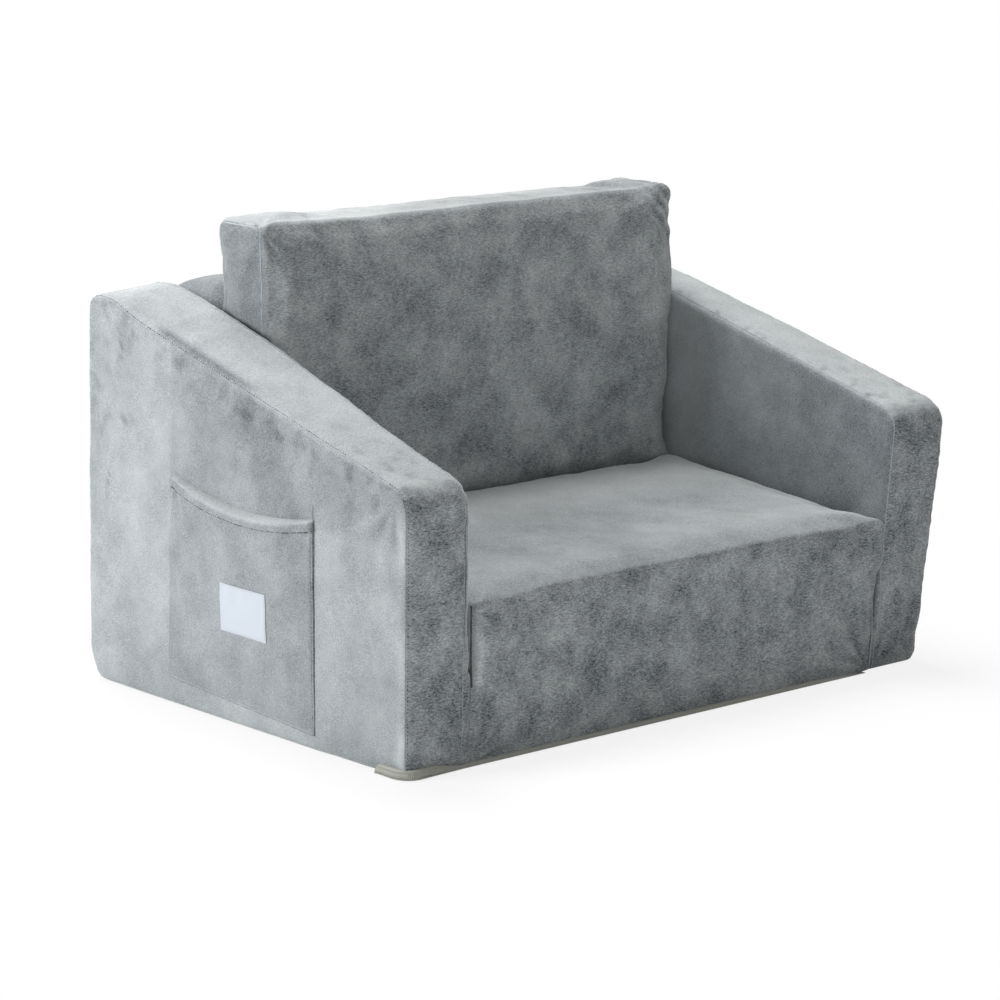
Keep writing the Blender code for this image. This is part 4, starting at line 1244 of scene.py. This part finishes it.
# Place on the pocket's outer face; climb goes from its foot to its mouth
def pocketPoint(share, climb, lift=0.0):
    mouth, foot = pocketMouth(share), pocketFoot(share)
    height = foot + (mouth - foot) * climb
    placeY = pocketForm["front"] + (pocketForm["width"] + pocketForm["tilt"] * (1 - climb)) * share
    edge = min(share, 1 - share) * pocketForm["width"]
    reach = (pocketReach(share, height) + 0.0012) * min(1.0, 0.25 + edge / 0.003)
    loose = min(1.0, edge / 0.02) * min(1.0, (height - foot) / 0.02)
    reach += loose * (0.0007 * fieldAt(placeY, height, 101, 0.045)
                      + 0.0004 * fieldAt(placeY, height, 102, 0.014))
    below = mouth - height
    for corner in (0.0, 1.0):
        aside = abs(share - corner) * pocketForm["width"]
        radius = math.hypot(aside, below) + 1e-6
        ridge = math.sin(math.atan2(below, aside + 1e-6) * 9 + 2 * corner)
        reach += 0.0011 * ridge * math.exp(-(radius / 0.050) ** 1.6) * (1 - bell(radius, 0.012))
    # Turned edges stand up just inside the seams, and the foot seam puckers
    reach += 0.0005 * bell(edge - 0.0045, 0.0022) + 0.0006 * bell(height - foot - 0.005, 0.003)
    pucker = fieldAt(placeY, 0.2 * height, 103, 0.005)
    reach += pucker * (0.0005 * bell(height - foot, 0.006)
                       + 0.0004 * bell(below - pocketForm["hem"], 0.004))
    reach += 0.0020 * (1 - smoothStep(pocketForm["hem"] - 0.0015, pocketForm["hem"] + 0.0005, below))
    # The mouth's turned edge rolls back to the arm, and its roll catches the light
    roll = 0.0045 + 0.0050 * math.sin(math.pi * min(1.0, share * 0.9 + 0.1))
    reach *= 0.04 + 0.96 * math.sqrt(max(0.0, 1 - (1 - min(1.0, below / roll)) ** 2))
    reach -= 0.0006 * bell(below - pocketForm["hem"], 0.0014)
    return (armFace(placeY, height) - reach - lift, placeY, height)


# Place on the pocket's outer face at a given height and distance from the front
def pocketSpot(placeY, height, lift=0.0):
    share = (placeY - pocketForm["front"]) / pocketForm["width"]
    climb = (height - pocketFoot(share)) / (pocketMouth(share) - pocketFoot(share))
    return pocketPoint(share, climb, lift)


# Path down the pocket's front side, along its foot and up its rear side; sides in sixtieths of its height
def pocketOutline(aside, foot, top, lift):
    down = [pocketPoint(aside, climb / 60, lift) for climb in range(top, 0, -1)]
    along = [pocketPoint(aside + (1 - 2 * aside) * step / 80, foot, lift) for step in range(81)]
    return down + along + [pocketPoint(1 - aside, climb / 60, lift) for climb in range(1, top + 1)]


def makePocket():
    columns, rows = pocketForm["columns"], pocketForm["rows"]
    grid = [[pocketPoint(column / columns, row / rows) for column in range(columns + 1)]
            for row in range(rows + 1)]
    pocket = closedSheet("pocketCloth", grid, (pocketForm["cloth"], 0, 0), velvet)
    places = readPoints(pocket)
    shares = np.clip((places[:, 1] - pocketForm["front"]) / pocketForm["width"], 0, 1)
    below = pocketMouth(shares) - places[:, 2]
    roll = 0.003 + 0.0035 * np.sin(math.pi * shares)
    # Painted highlight on the mouth's turned roll; the rest of the pocket a little darker
    setPileAndPaintedLight(pocket, -0.08 + 0.20 * (1 - smoothStep(roll * 0.7, roll * 1.4, below)))
    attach(pocket, "shell")
    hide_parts("pocket_panel", "pocket_hem")
    # Needle lines, shade and turned edge: down both sides and along the foot
    needle = pocketOutline(0.012, 0.012, 60, 0.0001)
    addStitches("pocketStitches", needle, 0.0034, 0.0024, 0.00036, "shell")
    addWelt("pocketShade", pocketOutline(0.001, 0.001, 58, 0.0), 0.00035, 0.8, seamShade, "shell")
    addWelt("pocketEdge", pocketOutline(0.0055, 0.005, 56, 0.0), 0.0005, 0.6, velvetWelt, "shell")
    # The side seam goes on a little above the hem, where the arm cover's own seam begins
    front, mouth = pocketForm["front"], pocketForm["mouth"]
    rise = [(armFace(front, height) - 0.0002, front + 0.002, height)
            for height in np.arange(mouth, mouth + 0.014, 0.002)]
    addWelt("pocketRise", rise, 0.0003, 0.5, seamShade, "shell")
    hemLine = []
    for step in range(81):
        share = 0.012 + 0.976 * step / 80
        climb = 1 - (pocketForm["hem"] - 0.0012) / (pocketMouth(share) - pocketFoot(share))
        hemLine.append(pocketPoint(share, climb, 0.0001))
    addStitches("hemStitches", hemLine, 0.0032, 0.0022, 0.00038, "shell")
    addWelt("hemShade", [(x + 0.0001, y, z) for x, y, z in hemLine], 0.0006, 0.6, seamShade, "shell")


# Woven label with turned edges, sewn on all round and left blank
def makeLabel():
    columns, rows = 36, 26
    grid = []
    for row in range(rows + 1):
        line = []
        for column in range(columns + 1):
            across = (column / columns - 0.5) * labelForm["width"]
            height = labelForm["foot"] + labelForm["height"] * row / rows
            edge = min(min(column, columns - column) / columns * labelForm["width"],
                       min(row, rows - row) / rows * labelForm["height"])
            lift = 0.0008 + 0.0004 * math.exp(-((edge - 0.0028) / 0.0018) ** 2)
            line.append(pocketSpot(labelForm["middle"] + across, height, lift))
        grid.append(line)
    label = closedSheet("pocketLabel", grid, (labelForm["cloth"], 0, 0), wovenLabel)
    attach(label, "shell")
    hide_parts("pocket_label")
    half, inset, foot = labelForm["width"] / 2, 0.0016, labelForm["foot"]
    ring = [Vector(corner) for corner in rectangle(
        labelForm["middle"] - half + inset, labelForm["middle"] + half - inset,
        foot + inset, foot + labelForm["height"] - inset)]
    line = []
    for start, end in zip(ring, ring[1:] + ring[:1]):
        line += [pocketSpot(*start.lerp(end, step / 24), 0.0011) for step in range(24)]
    addStitches("labelStitches", line, 0.0026, 0.0018, 0.00030, "shell")


makePocket()
makeLabel()
print("pocket and label made")


# Lining: the panel underneath and the lip that shows along the front

lipForm = {"high": 0.0105, "low": 0.0040, "wallOut": 0.0022, "end": -0.221, "ribPitch": 0.0021,
           "ribRadius": 0.0008}


# The lip is tallest under the left front corner
def lipHeight(placeX):
    return lipForm["low"] + (lipForm["high"] - lipForm["low"]) * (1 - smoothStep(-0.362, -0.318, placeX))


# Path of the lip: along the left foot's front end, round the corner and across the front
def lipLine():
    corner, side, front = 0.020, -0.3970, -0.2685
    points = [(side, placeY) for placeY in np.arange(lipForm["end"], front + corner, -0.0015)]
    points += [(side + corner * (1 - math.cos(turn)), front + corner * (1 - math.sin(turn)))
               for turn in np.linspace(0, math.pi / 2, 20)]
    points += [(placeX, front + 0.0025 * min(1, (placeX - side - corner) / 0.06))
               for placeX in np.arange(side + corner, 0.300, 0.003)]
    return points


# Each place of the lip's path with its outward way and height
def lipPlaces():
    path = lipLine()
    places = []
    for number, (placeX, placeY) in enumerate(path):
        before, after = path[max(number - 1, 0)], path[min(number + 1, len(path) - 1)]
        along = Vector((after[0] - before[0], after[1] - before[1])).normalized()
        out = Vector((along.y, -along.x))
        if out.dot(Vector((placeX + 0.1, placeY))) < 0:
            out = -out
        fade = math.sqrt(max(0.02, 1 - (1 - min(1, number / 5)) ** 2)) * min(1, (len(path) - number) / 30)
        places.append((placeX, placeY, out, lipHeight(placeX) * fade))
    return places


def makeLip():
    rings = []
    ribPoints = []
    for placeX, placeY, out, height in lipPlaces():
        low, slim = 0.0003, math.sqrt(height / lipForm["high"])
        ring = []
        for turn in np.linspace(0, math.pi, 9):         # half-round outer face, flat inner one
            reach = lipForm["wallOut"] * math.sin(turn) * slim
            ring.append((placeX + out.x * reach, placeY + out.y * reach,
                         low + height * (1 - math.cos(turn)) / 2))
        for climb in (1, 0):
            ring.append((placeX - out.x * 0.006, placeY - out.y * 0.006, low + height * climb))
        rings.append(ring)
        reach = (lipForm["wallOut"] - 0.0001) * slim
        ribPoints.append((placeX + out.x * reach, placeY + out.y * reach, height * 0.5))
    lip = smoothShade(newPiece("liningLip", loft("liningLip", rings), liningRib), 50)
    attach(lip, "shell")
    values = {"Pitch": lipForm["ribPitch"], "Radius": lipForm["ribRadius"]}
    alongPath("liningRibs", ribTree(), ribPoints, values, liningRib, "shell")


# Upright ribs at an even pitch along the lip
def ribTree():
    tree, given, line = startTree("lipRibs", ("Pitch", "Radius"))
    place = addNode(tree, "GeometryNodeInputPosition").outputs["Position"]
    parts = addNode(tree, "ShaderNodeSeparateXYZ", {"Vector": place})
    rib = addNode(tree, "GeometryNodeMeshIcoSphere", {"Radius": 1.0, "Subdivisions": 1})
    size = addNode(tree, "ShaderNodeCombineXYZ", {
        "X": given["Radius"], "Y": given["Radius"], "Z": parts.outputs["Z"]})
    return endTree(tree, given, addCopies(tree, line, rib.outputs["Mesh"],
                                          {"Scale": size.outputs["Vector"]}))


# Lining underneath, drawn in round the front corners
def makeUnderside():
    halfX, halfY, front = 0.3858, 0.2568, 0.040
    outline = roundedOutline(rectangle(-halfX, halfX, -halfY, halfY), (0.014, front, 0.008, 0.008), 0, 10)
    rings = [[(point.x, point.y, height) for point in outline] for height in (0.0, 0.0024)]
    piece = newPiece("liningPanel", loft("liningPanel", rings), lining)
    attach(piece, "shell")
    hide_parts("bottom_panel")


makeLip()
makeUnderside()
print("lining made")


# Crease seam and zips

def paintNode(name, material):
    node = frame["nodes"][name]
    node.data.materials.clear()
    node.data.materials.append(material)


# Rolled cloth seam in the crease
def creaseRoll():
    half = 0.288
    line = [(placeX, sofa["crease"].y, sofa["crease"].z) for placeX in np.linspace(-half, half, 150)]
    roll = addWelt("creaseSeam", line, 0.0046, 0.25, velvet, "seat")
    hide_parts("crease_hinge_seam")


# Row of moulded teeth: a foot on the tape and a round head that reaches past the middle
def toothTree():
    tree, given, line = startTree("zipTeeth", ("Pitch", "Reach"))
    foot = addNode(tree, "GeometryNodeMeshCube", {"Size": (0.0013, 0.0020, 0.0034)})
    head = addNode(tree, "GeometryNodeMeshCylinder", {"Vertices": 8, "Radius": 0.00095, "Depth": 0.0019})
    shift = addNode(tree, "ShaderNodeCombineXYZ", {"Z": given["Reach"]})
    turned = addNode(tree, "GeometryNodeTransform", {
        "Geometry": head.outputs["Mesh"], "Translation": shift.outputs["Vector"],
        "Rotation": (math.pi / 2, 0, 0)})
    both = addNode(tree, "GeometryNodeJoinGeometry")
    tree.links.new(foot.outputs["Mesh"], both.inputs["Geometry"])
    tree.links.new(turned.outputs["Geometry"], both.inputs["Geometry"])
    return endTree(tree, given, addCopies(tree, line, both.outputs["Geometry"], {}))


def makeZips():
    teeth = toothTree()
    pitch = 0.0040
    zips = (("panel", "shell", 0.360, lambda x, y, z: Vector((x, sofa["rear"] - 0.002 + y, 0.110 + z))),
            ("seat", "seat", 0.296, lambda x, y, z: Vector((x, 0.07237 - 0.002 + y, 0.1376 + z))),
            ("back", "back", 0.296, lambda x, y, z: backTurn @ Vector((x, 0.0825 - 0.002 + y, 0.0525 + z))))
    for name, body, length, toSpace in zips:
        for row, sign, offset in (("upper", 1, 0.0), ("lower", -1, pitch / 2)):
            half = length / 2 - 0.004
            line = [toSpace(place, 0.0012, sign * 0.0017)
                    for place in np.linspace(-half + offset, half - pitch / 2 + offset, 40)]
            piece = alongPath(name + "Zip" + row.capitalize(), teeth, line,
                              {"Pitch": pitch, "Reach": -sign * 0.0017}, acetal, body)
            smoothShade(piece, 40)
            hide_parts(name + "_zip_teeth_" + row)
            paintNode(name + "_zip_tape_" + row, zipTape)
        paintNode(name + "_zip_slider", zinc)
    paintNode("panel_zip_pull", zinc)


creaseRoll()
makeZips()
print("crease seam and zips made")


# Floor, light and camera

# White room: the floor shows white to the camera but for a soft shadow close to the sofa
def makeStage():
    size = 30
    mesh = bpy.data.meshes.new("studioFloor")
    mesh.from_pydata([(*corner, -0.0002) for corner in rectangle(-size, size, -size, size)], [],
                     [(0, 1, 2, 3)])
    material, tree, shader, place = newMaterial("studioPaper")
    away = addNode(tree, "ShaderNodeVectorMath", {0: place}, operation="LENGTH")
    share = addNode(tree, "ShaderNodeMapRange", {
        "Value": away.outputs["Value"], "From Min": 0.50, "From Max": 0.95, "To Min": 0.84, "To Max": 1.0})
    share = addMath(tree, "MULTIPLY", seenDirectly(tree), share.outputs["Result"])
    paper = addNode(tree, "ShaderNodeBsdfDiffuse", {"Color": hexToLinear("#f4f4f4")})
    glow = addNode(tree, "ShaderNodeEmission", {"Color": (1, 1, 1, 1), "Strength": 1.0})
    mixed = addNode(tree, "ShaderNodeMixShader", {0: share, 1: paper.outputs[0], 2: glow.outputs[0]})
    feed(tree, tree.nodes["Material Output"], {"Surface": mixed.outputs[0]})
    tree.nodes.remove(shader)
    newPiece("studioFloor", mesh, material)

    world = bpy.data.worlds.new("studioWorld")
    scene.world = world
    world.use_nodes = True
    tree = world.node_tree
    tree.nodes.clear()
    room = addNode(tree, "ShaderNodeBackground", {"Color": hexToLinear("#f5f4f3"), "Strength": 0.345})
    backdrop = addNode(tree, "ShaderNodeBackground", {"Color": (1, 1, 1, 1), "Strength": 1.0})
    mixed = addNode(tree, "ShaderNodeMixShader", {0: seenDirectly(tree), 1: room.outputs[0],
                                                  2: backdrop.outputs[0]})
    addNode(tree, "ShaderNodeOutputWorld", {"Surface": mixed.outputs[0]})


# 1 for what the camera sees, also in a mirror or through glass; 0 for light that falls on things
def seenDirectly(tree):
    rays = addNode(tree, "ShaderNodeLightPath")
    seen = rays.outputs["Is Camera Ray"]
    for kind in ("Is Glossy Ray", "Is Transmission Ray"):
        seen = addMath(tree, "MAXIMUM", seen, rays.outputs[kind])
    return seen


def addLamp(name, place, target, size, power):
    light = bpy.data.lights.new(name, "AREA")
    light.shape = "DISK"
    light.size = size
    light.energy = power
    lamp = bpy.data.objects.new(name, light)
    lamp.location = place
    lamp.rotation_euler = (Vector(target) - Vector(place)).to_track_quat("-Z", "Y").to_euler()
    scene.collection.objects.link(lamp)


def addCamera():
    view = {"place": (-2.81244, -3.02678, 1.10392), "azimuth": -42.6154, "elevation": 12.4191,
            "roll": 1.1713, "focal": 3758.47}
    azimuth, elevation, roll = (math.radians(view[key]) for key in ("azimuth", "elevation", "roll"))
    back = Vector((math.sin(azimuth) * math.cos(elevation), -math.cos(azimuth) * math.cos(elevation),
                   math.sin(elevation)))
    right = (-back).cross(Vector((0, 0, 1))).normalized()
    up = right.cross(-back)
    rightRolled = right * math.cos(roll) + up * math.sin(roll)
    upRolled = up * math.cos(roll) - right * math.sin(roll)
    camera = bpy.data.cameras.new("photoCamera")
    camera.sensor_width = 36
    camera.lens = view["focal"] * camera.sensor_width / 1000
    camera.clip_start, camera.clip_end = 0.1, 100
    holder = bpy.data.objects.new("photoCamera", camera)
    turn = Matrix((rightRolled, upRolled, back)).transposed().to_4x4()
    holder.matrix_world = Matrix.Translation(view["place"]) @ turn
    scene.collection.objects.link(holder)
    scene.camera = holder


makeStage()
addLamp("keyLamp", (-3.2, 1.1, 1.3), (0, 0, 0.2), 1.6, 104)
addLamp("topLamp", (0.2, 1.1, 3.0), (0, 0, 0.2), 1.8, 97)
addLamp("frontLamp", (-0.6, -3.4, 1.4), (0, 0, 0.2), 2.2, 5)
addCamera()
scene.view_settings.view_transform = "Standard"
